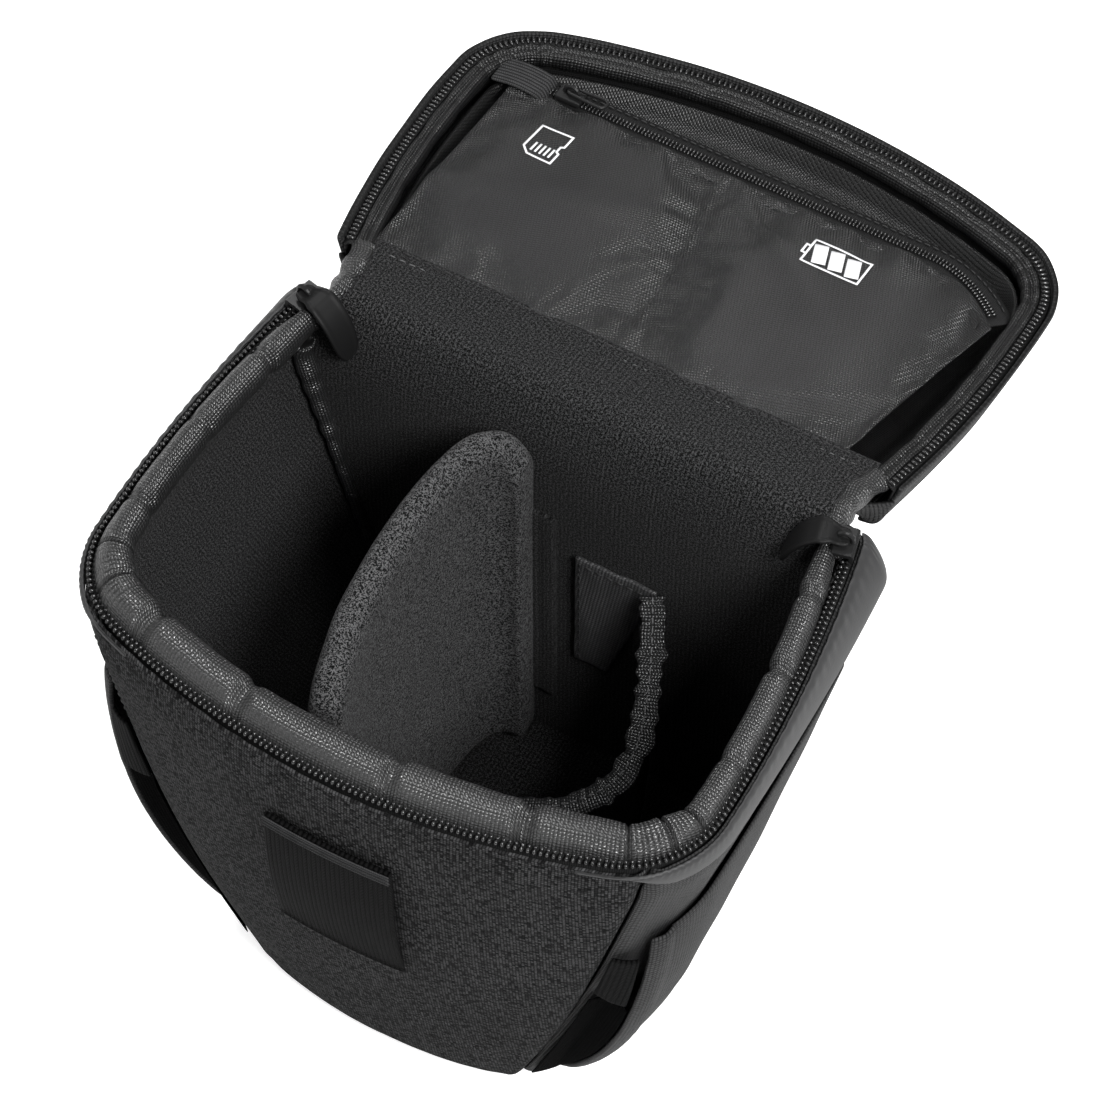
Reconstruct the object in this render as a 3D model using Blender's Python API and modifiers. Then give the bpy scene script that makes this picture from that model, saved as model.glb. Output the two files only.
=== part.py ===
"""Compact top-loading camera bag with its lid laid open.

The tub is a padded, tapered bag with a D-shaped mouth. Its lid has the same D plan and swings about the top edge of
the back wall. Heights are measured from the underside of the base, and depths forward from the back wall's plane.
All lengths are in metres.
"""

import math

import bmesh
import bpy
from mathutils import Matrix, Vector

# The tub: the mouth at the zip, the shoulder just below it, and the base.
HEIGHT = 0.166
MOUTH_BACK_HALF = 0.081
MOUTH_FRONT_HALF = 0.091
MOUTH_DEPTH = 0.134
MOUTH_FRONT_BOW = 0.020
MOUTH_SIDE_BOW = 0.005
MOUTH_CORNER = 0.028
SHOULDER_DROP = 0.016
SHOULDER_BACK_HALF = 0.0905
SHOULDER_FRONT_HALF = 0.0915
SHOULDER_DEPTH = 0.135
SHOULDER_FRONT_BOW = 0.019
SHOULDER_SIDE_BOW = 0.002
SHOULDER_CORNER = 0.036
BASE_HALF = 0.0515
BASE_DEPTH = 0.119
BASE_FRONT_BOW = 0.010
BASE_SIDE_BOW = 0.001
BASE_CORNER = 0.029
BACK_CORNER = 0.006
WALL_BULGE = 0.0025
FRONT_BULGE = 0.0030
BOTTOM_ROUND = 0.008

# The layers of a wall, the clearance between neighbours, and how far a cut runs past what it cuts.
GAP = 0.0003
OVERRUN = 0.0020
LAYER_GAP = 0.0004
SHELL = 0.0014
FOAM = 0.0045
LINING = 0.0012
BACK_FOAM = 0.0075
BASE_FOAM = 0.0050
FOAM_INSET = SHELL + LAYER_GAP
LINING_INSET = FOAM_INSET + FOAM + LAYER_GAP
WALL = LINING_INSET + LINING
BACK_LINING_FACE = SHELL + GAP + BACK_FOAM + GAP + LINING

# The zip round the mouth, the bindings and the trims.
COIL_RADIUS = 0.0012
COIL_DROP = 0.0015
TAPE = 0.0008
TAPE_TOP = 0.0030
TAPE_WIDTH = 0.0090
SHELL_TOP = 0.0042
BINDING_RADIUS = 0.0024
BINDING_DROP = 0.0046
CORNER_BINDING_RADIUS = 0.0021
TRIM = 0.0008
TRIM_TOP = 0.0036
TRIM_DEEP = 0.0170
TRIM_SHALLOW = 0.0085

# The lid, in its own closed frame: forward from the hinge and up from the zip.
LID_OPEN_ANGLE = math.radians(190)
LID_HEIGHT = 0.022
LID_DOME = 0.003
LID_ROUND = 0.007
LID_FOAM = 0.0040
LID_REAR = 0.019
LID_HINGE_HALF = 0.069
LID_REAR_HALF = 0.078
FLAP_START = 0.0034
FLAP_LIFT = 0.0008
SEAM_BACK = 0.0230
POCKET_LIFT = 0.0042
POCKET_SWELL = 0.0014
PANEL = 0.0008
POCKET_RIGHT_ROOM = 0.025
POCKET_RIGHT = MOUTH_FRONT_HALF - POCKET_RIGHT_ROOM
ZIP_FRONT_ROOM = 0.0325
ZIP_ROW = MOUTH_DEPTH - ZIP_FRONT_ROOM
ZIP_LEFT_ROOM = 0.015
ZIP_LEFT = MOUTH_FRONT_HALF - ZIP_LEFT_ROOM
ZIP_RIGHT_ROOM = 0.011
ZIP_RIGHT = MOUTH_FRONT_HALF - ZIP_RIGHT_ROOM
ZIP_BEND_ROOM = 0.037
ZIP_BEND = MOUTH_FRONT_HALF - ZIP_BEND_ROOM
ZIP_BEND_FALL = 0.0135
ZIP_BEND_BACK = ZIP_ROW - ZIP_BEND_FALL
SMALL_TAPE = 0.0110
SMALL_CHAIN = 0.0040
SMALL_CHAIN_THICK = 0.0012
END_TAB_WIDTH = 0.016
END_TAB_LENGTH = 0.010
END_TAB = 0.0014

# The sliders of the main zip and their pulls.
SLIDER_LENGTH = 0.0090
SLIDER_LIP = 0.0011
SLIDER_CLEARANCE = 0.0009
SLIDER_CROWN = 0.0013
SLIDER_LIP_DROP = 0.0017
SLIDER_PARK = 0.0075
ARCH_RADIUS = 0.0021
ARCH_WIRE = 0.0007
PULL_AXIS_RISE = 0.0013
PULL_WIDTH = 0.0086
PULL_EYE_WIDTH = 0.0058
PULL_THICK = 0.0010
PULL_BAR = 0.0008
PULL_HOLE = 0.0027
PULL_HOLE_WIDTH = 0.0027
PULL_REACH = 0.0160
PULL_FALL = 0.0150
PULL_FLAT = 0.0045
PULL_TURN = math.radians(56)
PULL_TIP_SHARE = 0.6

# The slider of the lid's pocket.
POCKET_SLIDER_LENGTH = 0.0080
POCKET_SLIDER_WIDTH = 0.0060
POCKET_SLIDER_THICK = 0.0016
POCKET_SLIDER_STAND = 0.0016
POCKET_EYE = 0.0022
POCKET_EYE_WIRE = 0.0006
POCKET_PULL_LENGTH = 0.0150
POCKET_PULL_WIDTH = 0.0044
POCKET_PULL_THICK = 0.0009
POCKET_PULL_HOLE_WIDTH = 0.0025

# The webbing patch on the front, and the pockets on the sides.
PATCH_WIDTH = 0.038
PATCH_CENTRE = -0.0030
PATCH_TOP_DROP = 0.036
PATCH_BOTTOM_DROP = 0.088
PATCH = 0.0016
PATCH_SAG = 0.0012
POCKET_BOTTOM = 0.012
POCKET_FRONT_DROP = 0.044
POCKET_REAR_DROP = 0.034
POCKET_BAG = 0.0074
POCKET_FABRIC = 0.0012
KEEPER_LOW_DROP = 0.032
KEEPER_HIGH_DROP = 0.008
KEEPER = 0.0012

# The dividers inside.
DIVIDER = 0.0080
DIVIDER_TOP_DROP = 0.007
DIVIDER_FLOOR = 0.013
DIVIDER_FRONT_ROOM = 0.0090
DIVIDER_EDGE = 0.0026
FLANGE = 0.0014
SOFT_PANEL = 0.0018
SOFT_EDGE_RADIUS = 0.0021

# The belt loop and the strap rings on the back, and the lid's handle.
BELT_LOOP_WIDTH = 0.050
BELT_LOOP_BOTTOM = 0.036
BELT_LOOP_TOP_DROP = 0.056
BELT_LOOP_STAND = 0.0062
WEBBING = 0.0016
RING_IN = 0.030
RING_DOWN = 0.046
RING_WIDTH = 0.026
RING_TAB_WIDTH = 0.020
RING_WIRE = 0.0015
RING_DROP = 0.016
RING_TAB_HEIGHT = 0.018
HANDLE_LENGTH = 0.110
HANDLE_WIDTH = 0.022
HANDLE_AT = 0.068
HANDLE_STAND = 0.014
HANDLE_FOOT = 0.018

# How finely the forms are divided.
BACK_STEPS = 2
SIDE_STEPS = 6
CORNER_STEPS = 5
FRONT_STEPS = 4
SIDE_START = BACK_STEPS
CORNER_START = BACK_STEPS + SIDE_STEPS
SEAM_PLACE_SHARE = 0.6
SEAM = CORNER_START + CORNER_STEPS - 1 - SEAM_PLACE_SHARE
CENTRE = CORNER_START + CORNER_STEPS + FRONT_STEPS
LAST = 2 * CENTRE
ARC_STEPS = 8
CURVE_STEPS = 5
CLOTH_STEPS = 4
POCKET_STEPS = 8
PATCH_STEPS = 8
PATCH_COLUMNS = 6
SPREAD_STEPS = 12

FABRIC_BLACK = (0.018, 0.018, 0.019)
MELANGE = (0.028, 0.028, 0.029)
VELOUR_GREY = (0.030, 0.030, 0.031)
NYLON_BLACK = (0.020, 0.020, 0.021)
TRIM_GREY = (0.085, 0.086, 0.088)
ZIP_BLACK = (0.022, 0.022, 0.023)
METAL_BLACK = (0.010, 0.010, 0.011)
FOAM_GREY = (0.16, 0.16, 0.17)


def clear_scene():
    for thing in list(bpy.data.objects):
        bpy.data.objects.remove(thing, do_unlink=True)


def make_collection(name):
    collection = bpy.data.collections.new(name)
    bpy.context.scene.collection.children.link(collection)
    return collection


def make_material(name, colour, roughness, metallic=0.0):
    material = bpy.data.materials.new(name)
    material.use_nodes = True
    shader = material.node_tree.nodes["Principled BSDF"]
    shader.inputs["Base Color"].default_value = (*colour, 1.0)
    shader.inputs["Roughness"].default_value = roughness
    shader.inputs["Metallic"].default_value = metallic
    return material


clear_scene()
PARTS = make_collection("compact_camera_bag")
CUTTERS = make_collection("cutters")
MATERIALS = {
    "melange": make_material("melange_weave", MELANGE, 0.9),
    "basket": make_material("basket_weave", FABRIC_BLACK, 0.85),
    "trim": make_material("grey_trim", TRIM_GREY, 0.55),
    "velour": make_material("velour", VELOUR_GREY, 0.95),
    "nylon": make_material("nylon", NYLON_BLACK, 0.4),
    "webbing": make_material("webbing", FABRIC_BLACK, 0.7),
    "tape": make_material("zip_tape", ZIP_BLACK, 0.8),
    "coil": make_material("zip_coil", ZIP_BLACK, 0.35),
    "metal": make_material("black_metal", METAL_BLACK, 0.25, 0.9),
    "rubber": make_material("pull_rubber", METAL_BLACK, 0.6),
    "foam": make_material("foam", FOAM_GREY, 0.95),
}


def link(name, data, material, parent=None):
    thing = bpy.data.objects.new(name, data)
    PARTS.objects.link(thing)
    data.materials.append(MATERIALS[material])
    thing.parent = parent
    return thing


def smooth(mesh, degrees=50):
    mesh.shade_smooth()
    mesh.set_sharp_from_angle(angle=math.radians(degrees))


def axis_empty(name, place, rotation=(0, 0, 0), parent=None):
    empty = bpy.data.objects.new(name, None)
    PARTS.objects.link(empty)
    empty.parent = parent
    empty.location = place
    empty.rotation_euler = rotation
    return empty


def blend(a, b, share):
    return a + (b - a) * share


def mesh_of_rows(name, rows):
    """An open surface through rows of points, facing the side from which the rows rise and the points run clockwise."""
    points = [point for row in rows for point in row]
    width = len(rows[0])
    faces = []
    for row in range(len(rows) - 1):
        for column in range(width - 1):
            corner = row * width + column
            faces.append((corner, corner + width, corner + width + 1, corner + 1))
    mesh = bpy.data.meshes.new(name)
    mesh.from_pydata(points, [], faces)
    mesh.validate()
    return mesh


def solidify(thing, thickness, offset=-1.0):
    shell = thing.modifiers.new("thickness", "SOLIDIFY")
    shell.thickness = thickness
    shell.offset = offset
    shell.use_even_offset = True
    return shell


def bevel(thing, width, segments=2):
    edge = thing.modifiers.new("rounded", "BEVEL")
    edge.width = width
    edge.segments = segments
    edge.limit_method = "ANGLE"
    edge.angle_limit = math.radians(40)
    return edge


def sheet(name, rows, thickness, material, parent=None, offset=-1.0):
    mesh = mesh_of_rows(name, rows)
    smooth(mesh)
    thing = link(name, mesh, material, parent)
    solidify(thing, thickness, offset)
    return thing


def tube(name, points, radius, material, parent=None, sides=2, cyclic=False):
    curve = bpy.data.curves.new(name, "CURVE")
    curve.dimensions = "3D"
    curve.bevel_depth = radius
    curve.bevel_resolution = sides
    curve.use_fill_caps = True
    spline = curve.splines.new("POLY")
    spline.points.add(len(points) - 1)
    for slot, point in zip(spline.points, points):
        slot.co = (*point, 1.0)
    spline.use_cyclic_u = cyclic
    return link(name, curve, material, parent)


def flat_plate(name, outline, thickness, material, parent=None, holes=()):
    """A flat piece in its own XY plane, its thickness centred on that plane, with any holes cut through."""
    curve = bpy.data.curves.new(name, "CURVE")
    curve.dimensions = "2D"
    curve.fill_mode = "BOTH"
    curve.extrude = thickness / 2
    for ring in (outline, *holes):
        spline = curve.splines.new("POLY")
        spline.points.add(len(ring) - 1)
        for slot, point in zip(spline.points, ring):
            slot.co = (point[0], point[1], 0, 1)
        spline.use_cyclic_u = True
    return link(name, curve, material, parent)


def as_mesh(thing):
    """The same piece as a welded mesh, ready to be cut or joined."""
    bpy.context.view_layer.update()
    graph = bpy.context.evaluated_depsgraph_get()
    mesh = bpy.data.meshes.new_from_object(thing.evaluated_get(graph))
    work = bmesh.new()
    work.from_mesh(mesh)
    bmesh.ops.remove_doubles(work, verts=work.verts, dist=GAP / 10)
    bmesh.ops.recalc_face_normals(work, faces=work.faces)
    work.to_mesh(mesh)
    work.free()
    name = thing.name
    parent = thing.parent
    place = thing.matrix_world.copy()
    thing.name = name + "_curve"
    bpy.data.objects.remove(thing, do_unlink=True)
    solid = bpy.data.objects.new(name, mesh)
    PARTS.objects.link(solid)
    solid.parent = parent
    solid.matrix_world = place
    return solid


def to_cutters(thing):
    for owner in list(thing.users_collection):
        owner.objects.unlink(thing)
    CUTTERS.objects.link(thing)
    thing.hide_render = True
    thing.display_type = "WIRE"
    return thing


def boolean(thing, other, operation):
    to_cutters(other)
    step = thing.modifiers.new(operation.lower(), "BOOLEAN")
    step.operation = operation
    step.object = other
    step.solver = "EXACT"
    return step


def box_mesh(name, size):
    work = bmesh.new()
    bmesh.ops.create_cube(work, size=1.0)
    bmesh.ops.scale(work, vec=size, verts=work.verts)
    mesh = bpy.data.meshes.new(name)
    work.to_mesh(mesh)
    work.free()
    return mesh


def box(name, size, place, material, parent=None):
    thing = link(name, box_mesh(name, size), material, parent)
    thing.location = place
    return thing


def world(x, forward, height):
    """A place given from the middle line, the back wall's plane and the floor."""
    return Vector((x, BASE_DEPTH / 2 - forward, height))


def circle_crossing(centre_a, radius_a, centre_b, radius_b):
    """The outer, forward one of the two points where two circles cross."""
    span = centre_b - centre_a
    reach = span.length
    along = (reach**2 + radius_a**2 - radius_b**2) / (2 * reach)
    across = math.sqrt(max(radius_a**2 - along**2, 0))
    unit = span / reach
    foot = centre_a + unit * along
    aside = Vector((-unit.y, unit.x)) * across
    return max(foot + aside, foot - aside, key=lambda point: point.x + point.y)


def arc(centre, start, end, steps):
    first = start - centre
    last = end - centre
    turn = math.atan2(first.x * last.y - first.y * last.x, first.dot(last))
    points = []
    for step in range(steps + 1):
        angle = turn * step / steps
        c = math.cos(angle)
        s = math.sin(angle)
        points.append(centre + Vector((first.x * c - first.y * s, first.x * s + first.y * c)))
    return points


def side_circle(back_half, front_half, depth, front_bow, side_bow):
    start = Vector((back_half, 0))
    end = Vector((front_half, depth - front_bow))
    chord = end - start
    radius = (chord.length / 2)**2 / (2 * side_bow) + side_bow / 2
    inward = Vector((-chord.y, chord.x)).normalized()
    return (start + end) / 2 + inward * (radius - side_bow), radius


def half_outline(back_half, front_half, depth, front_bow, side_bow, corner, back_corner):
    """The right half of a D: back corner, bowed side, front corner and bowed front, as tangent arcs."""
    side_centre, side_radius = side_circle(back_half, front_half, depth, front_bow, side_bow)
    front_radius = (front_half**2 + front_bow**2) / (2 * front_bow)
    front_centre = Vector((0, depth - front_radius))
    fillet = circle_crossing(side_centre, side_radius - corner, front_centre, front_radius - corner)
    to_side = side_centre + (fillet - side_centre) * side_radius / (side_radius - corner)
    to_front = front_centre + (fillet - front_centre) * front_radius / (front_radius - corner)
    rise = back_corner - side_centre.y
    run = math.sqrt((side_radius - back_corner)**2 - rise**2)
    back_centre = Vector((side_centre.x + run, back_corner))
    to_back = side_centre + (back_centre - side_centre) * side_radius / (side_radius - back_corner)
    points = arc(back_centre, Vector((back_centre.x, 0)), to_back, BACK_STEPS)
    points += arc(side_centre, to_back, to_side, SIDE_STEPS)[1:]
    points += arc(fillet, to_side, to_front, CORNER_STEPS)[1:]
    points += arc(front_centre, to_front, Vector((0, depth)), FRONT_STEPS)[1:]
    return points


def both_halves(half):
    return half + [Vector((-point.x, point.y)) for point in reversed(half[:-1])]


MOUTH = (MOUTH_BACK_HALF, MOUTH_FRONT_HALF, MOUTH_DEPTH, MOUTH_FRONT_BOW, MOUTH_SIDE_BOW, MOUTH_CORNER, BACK_CORNER)
SHOULDER = (
    SHOULDER_BACK_HALF, SHOULDER_FRONT_HALF, SHOULDER_DEPTH, SHOULDER_FRONT_BOW, SHOULDER_SIDE_BOW, SHOULDER_CORNER,
    BACK_CORNER,
)
BASE = (BASE_HALF, BASE_HALF, BASE_DEPTH, BASE_FRONT_BOW, BASE_SIDE_BOW, BASE_CORNER, BACK_CORNER)
SHOULDER_HEIGHT = HEIGHT - SHOULDER_DROP
SHOULDER_POWER = 1.5


def section(height):
    """The sizes of the outer outline at a height."""
    if height >= SHOULDER_HEIGHT:
        share = min((height - SHOULDER_HEIGHT) / SHOULDER_DROP, 1.0)**SHOULDER_POWER
        return [blend(a, b, share) for a, b in zip(SHOULDER, MOUTH)]
    share = max(height, 0) / SHOULDER_HEIGHT
    sizes = [blend(a, b, share) for a, b in zip(BASE, SHOULDER)]
    swell = math.sin(math.pi * share)
    sizes[0] += WALL_BULGE * swell
    sizes[1] += WALL_BULGE * swell
    sizes[2] += FRONT_BULGE * swell
    return sizes


def round_inset(height):
    """How far the outline is drawn in by the rounding round the bottom."""
    if height >= BOTTOM_ROUND:
        return 0.0
    left = BOTTOM_ROUND - max(height, 0)
    return BOTTOM_ROUND - math.sqrt(BOTTOM_ROUND**2 - left**2)


OUTLINES = {}


def outline(height):
    key = round(height, 7)
    if key not in OUTLINES:
        OUTLINES[key] = both_halves(half_outline(*section(height)))
    return OUTLINES[key]


def along(points, column):
    """A point of an outline at a column that may lie between two of its points, or past its ends."""
    if column < 0:
        return points[0] + Vector((column * (points[1] - points[0]).length, 0))
    if column > LAST:
        return points[LAST] + Vector(((column - LAST) * (points[1] - points[0]).length, 0))
    first = min(int(column), LAST - 1)
    return points[first].lerp(points[first + 1], column - first)


def outward(points, column):
    run = along(points, column + 0.5) - along(points, column - 0.5)
    return Vector((-run.y, run.x)).normalized() * -1


def skin(column, height):
    points = outline(height)
    flat = along(points, column) - outward(points, column) * round_inset(height)
    return world(flat.x, flat.y, height)


NORMAL_STEP = 0.0005


def skin_normal(column, height):
    up = skin(column, min(height + NORMAL_STEP, HEIGHT)) - skin(column, max(height - NORMAL_STEP, 0))
    run = skin(column + 0.5, height) - skin(column - 0.5, height)
    return up.cross(run).normalized()


def wall(column, height, inset=0.0):
    """A point of the tub's wall, a distance inside its outer surface."""
    return skin(column, height) - skin_normal(column, height) * inset


ROUND_ANGLES = [math.radians(angle) for angle in (25, 50, 75)]
ROUND_HEIGHTS = [BOTTOM_ROUND * (1 - math.cos(angle)) for angle in ROUND_ANGLES]
SIDE_HEIGHTS = [blend(BOTTOM_ROUND, SHOULDER_HEIGHT, share) for share in (0, 0.3, 0.6, 1)]
SHOULDER_SHARES = (0.35, 0.68)


def wall_heights(top):
    heights = ROUND_HEIGHTS + SIDE_HEIGHTS
    for share in SHOULDER_SHARES:
        step = SHOULDER_HEIGHT + SHOULDER_DROP * share
        if step < top - GAP:
            heights = heights + [step]
    return heights + [top]


def columns(first, last):
    """Every column between two, with the two themselves, which may lie between points of the outline."""
    return [first] + [i for i in range(math.floor(first) + 1, math.ceil(last))] + [last]


def wall_rows(first, last, heights, inset):
    return [[wall(column, height, inset) for column in columns(first, last)] for height in heights]


SEAM_SHARE = 0.03
BACK_HALF_SHARE = 0.4
BACK_LAP_SHARE = 0.3


def back_half(height):
    return section(height)[0] - round_inset(height)


def make_shell():
    """The outer panels: front, two sides, back and base."""
    heights = wall_heights(HEIGHT - SHELL_TOP)
    sheet("front_panel", wall_rows(SEAM + SEAM_SHARE, LAST - SEAM - SEAM_SHARE, heights, 0), SHELL, "melange")
    lap = BACK_LAP_SHARE
    sheet("side_panel_right", wall_rows(-lap, SEAM - SEAM_SHARE, heights, 0), SHELL, "basket")
    sheet("side_panel_left", wall_rows(LAST - SEAM + SEAM_SHARE, LAST + lap, heights, 0), SHELL, "basket")
    rows = []
    for height in heights:
        edge = wall(-lap, height)
        row = [Vector((edge.x - GAP, edge.y, edge.z)), Vector((GAP - edge.x, edge.y, edge.z))]
        rows.append([row[1], row[0]])
    sheet("back_panel", rows, SHELL, "basket")
    plate_from_outline("base_panel", BASE_EDGE, 0.0, SHELL, "basket")


BASE_EDGE = BOTTOM_ROUND * (1 - math.sin(ROUND_ANGLES[0])) + SHELL
BASE_FOAM_EDGE = BASE_EDGE + FOAM * math.cos(ROUND_ANGLES[0]) / 2
BASE_LINING_EDGE = BASE_FOAM_EDGE + LINING


def closed_outline(inset):
    """The base's outline drawn in on every side."""
    half = BASE_HALF - inset
    corner = max(BASE_CORNER - inset, BACK_CORNER / 2)
    sizes = (half, half, BASE_DEPTH - 2 * inset, BASE_FRONT_BOW, BASE_SIDE_BOW, corner, BACK_CORNER / 2)
    return [(point.x, BASE_DEPTH / 2 - inset - point.y) for point in both_halves(half_outline(*sizes))]


def plate_from_outline(name, inset, low, thickness, material):
    plate = flat_plate(name, closed_outline(inset), thickness, material)
    plate.location = (0, 0, low + thickness / 2)
    return plate


PAD_START = SIDE_START + BACK_HALF_SHARE


def make_padding():
    """The foam inside the walls, back and base."""
    heights = wall_heights(HEIGHT - TAPE_TOP - TAPE_WIDTH - LAYER_GAP)
    sheet("foam_wall", wall_rows(PAD_START, LAST - PAD_START, heights, FOAM_INSET), FOAM, "foam")
    plate_from_outline("foam_base", BASE_FOAM_EDGE, SHELL + GAP, BASE_FOAM, "foam")
    make_back_foam()


BASE_TOP = SHELL + GAP + BASE_FOAM + GAP + LINING
CURVE_DROP = 0.0384
FOAM_FALL_SHARES = (1.1, 0.66, 0.42, 0.42)
FOAM_DEPTH_SHARES = (1.0, 0.90, 0.60, 0.0)
BACK_FLAT_SHARE = 0.4


def make_back_foam():
    low = max(BASE_TOP + GAP, BOTTOM_ROUND)
    near = SHELL + GAP
    far = near + BACK_FOAM
    middle = blend(low, HEIGHT, BACK_FLAT_SHARE)
    rings = [(near, low), (far, low), (far, middle)]
    for fall, depth in zip(FOAM_FALL_SHARES, FOAM_DEPTH_SHARES):
        rings.append((blend(near, far, depth), HEIGHT - CURVE_DROP * fall))
    rings.append((near, middle))
    work = bmesh.new()
    ends = []
    for side in (1, -1):
        ring = []
        for forward, height in rings:
            ring.append(work.verts.new(world(side * (back_half(height) - BACK_CORNER), forward, height)))
        ends.append(ring)
    work.faces.new(ends[0])
    work.faces.new(list(reversed(ends[1])))
    count = len(rings)
    for i in range(count):
        j = (i + 1) % count
        work.faces.new((ends[0][i], ends[1][i], ends[1][j], ends[0][j]))
    bmesh.ops.recalc_face_normals(work, faces=work.faces)
    mesh = bpy.data.meshes.new("foam_back")
    work.to_mesh(mesh)
    work.free()
    link("foam_back", mesh, "foam")


LINING_FALL_SHARES = (1.0, 0.62, 0.36, 0.17, 0.06, 0.012)
LINING_FACE_SHARES = (1.0, 0.97, 0.82, 0.54, 0.23, 0.06)


def back_lining_profile():
    """The velour on the back wall: forward and height of its face, from the bottom to the hinge."""
    face = BACK_LINING_FACE
    profile = [(face, BASE_TOP + GAP), (face, blend(BASE_TOP, HEIGHT, BACK_FLAT_SHARE))]
    for fall, reach in zip(LINING_FALL_SHARES, LINING_FACE_SHARES):
        profile.append((face * reach, HEIGHT - CURVE_DROP * fall))
    return profile


def make_lining():
    """The velour lining: front and sides in one, back and base."""
    heights = wall_heights(HEIGHT - BINDING_DROP - BINDING_RADIUS - GAP)
    sheet("lining_wall", wall_rows(PAD_START, LAST - PAD_START, heights, LINING_INSET), LINING, "velour", offset=-1)
    rows = []
    for forward, height in back_lining_profile():
        half = back_half(height) - WALL - LAYER_GAP
        rows.append([world(-share * half, forward, height) for share in ACROSS_SHARES])
    sheet("lining_back", rows, LINING, "velour")
    plate_from_outline("lining_base", BASE_LINING_EDGE, SHELL + GAP + BASE_FOAM + GAP, LINING, "velour")


ZIP_START = SIDE_START
BINDING_INSET = SHELL + GAP + TAPE + GAP + BINDING_RADIUS
TAPE_INSET = SHELL + GAP
COIL_INSET = TAPE_INSET + TAPE / 2


ACROSS_SHARES = (-1, -0.5, 0, 0.5, 1)


def rim_path(height, inset, start):
    """Points round the mouth, from one side of the hinge to the other."""
    return [wall(column, height, inset) for column in columns(start, LAST - start)]


def make_zip():
    """The tub's half of the main zip: tape and coil."""
    low = HEIGHT - TAPE_TOP - TAPE_WIDTH
    high = HEIGHT - TAPE_TOP
    heights = [low, (low + high) / 2, high]
    sheet("zip_tape_tub", wall_rows(ZIP_START, LAST - ZIP_START, heights, TAPE_INSET), TAPE, "tape")
    path = rim_path(HEIGHT - COIL_DROP, COIL_INSET, ZIP_START)
    tube("zip_coil_tub", path, COIL_RADIUS, "coil", sides=1)


def make_bindings():
    """The bound edge inside the rim, and the bound seams down the inner back corners."""
    path = rim_path(HEIGHT - BINDING_DROP, BINDING_INSET, PAD_START)
    tube("rim_binding", path, BINDING_RADIUS, "nylon")
    reach = CORNER_BINDING_RADIUS + GAP
    for name, side in (("right", 1), ("left", -1)):
        points = []
        low = BASE_TOP + BOTTOM_ROUND / 2
        high = HEIGHT - BINDING_DROP - 2 * BINDING_RADIUS - GAP
        for step in range(ARC_STEPS + 1):
            height = blend(low, high, step / ARC_STEPS)
            x = back_half(height) - WALL - LAYER_GAP - reach
            points.append(world(side * x, BACK_LINING_FACE + reach, height))
        tube("corner_binding_" + name, points, CORNER_BINDING_RADIUS, "nylon")


TRIM_EVEN_SHARE = 0.87
TRIM_POWER = 1.4
TRIM_PAST_SEAM = 2


def trim_depth(share):
    """How far the trim reaches down the shoulder, from the hinge to the front corner."""
    return blend(TRIM_DEEP, TRIM_SHALLOW, min(share / TRIM_EVEN_SHARE, 1)**TRIM_POWER)


def make_trims():
    for name, mirror in (("right", False), ("left", True)):
        spread = columns(1, SEAM + TRIM_PAST_SEAM)
        rows = []
        for level in range(CLOTH_STEPS + 1):
            row = []
            for column in spread:
                depth = trim_depth((column - spread[0]) / (spread[-1] - spread[0]))
                height = blend(HEIGHT - depth, HEIGHT - TRIM_TOP, level / CLOTH_STEPS)
                place = LAST - column if mirror else column
                row.append(wall(place, height, -(LAYER_GAP + TRIM)))
            rows.append(list(reversed(row)) if mirror else row)
        sheet("shoulder_trim_" + name, rows, TRIM, "trim")


SEARCH_STEPS = 40


def front_wall_x(x, height, inset):
    """The front wall's point at a distance from the middle line."""
    low = SEAM
    high = LAST - SEAM
    for _ in range(SEARCH_STEPS):
        middle = (low + high) / 2
        if skin(middle, height).x > x:
            low = middle
        else:
            high = middle
    return wall(low, height, inset)


def make_patch():
    """The ribbed webbing patch, sewn to the front along its top and bottom."""
    rows = []
    for level in range(PATCH_STEPS + 1):
        share = level / PATCH_STEPS
        height = HEIGHT - blend(PATCH_BOTTOM_DROP, PATCH_TOP_DROP, share)
        sag = PATCH_SAG * math.sin(math.pi * share)
        row = []
        for step in range(PATCH_COLUMNS + 1):
            x = PATCH_CENTRE + PATCH_WIDTH / 2 - PATCH_WIDTH * step / PATCH_COLUMNS
            row.append(front_wall_x(x, height, -(LAYER_GAP + PATCH + sag)))
        rows.append(row)
    sheet("front_patch", rows, PATCH, "webbing")


POCKET_BACK = SIDE_START + 1
POCKET_FRONT = SEAM - 1
KEEPER_GAP_SHARE = 0.2
HEM_SHARE = 0.1
HEM_SEAM_SHARE = 0.02
BAG_ROUND_POWER = 0.8
BAG_OPEN_POWER = 0.6


def pocket_top(share):
    """The height of a side pocket's top edge, from its back to its mouth."""
    return HEIGHT - blend(POCKET_REAR_DROP, POCKET_FRONT_DROP, share**2)


def pocket_stand(across, up):
    """How far a side pocket's bag stands off the wall: open at the mouth in front, sewn down elsewhere."""
    return POCKET_BAG * math.sin(math.pi * min(max(up, 0), 1))**BAG_ROUND_POWER * across**BAG_OPEN_POWER


def pocket_point(across, up, extra, mirror):
    column = blend(POCKET_BACK, POCKET_FRONT, across)
    height = blend(POCKET_BOTTOM, pocket_top(across), up)
    place = LAST - column if mirror else column
    return wall(place, height, -(LAYER_GAP + extra + pocket_stand(across, up)))


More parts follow.
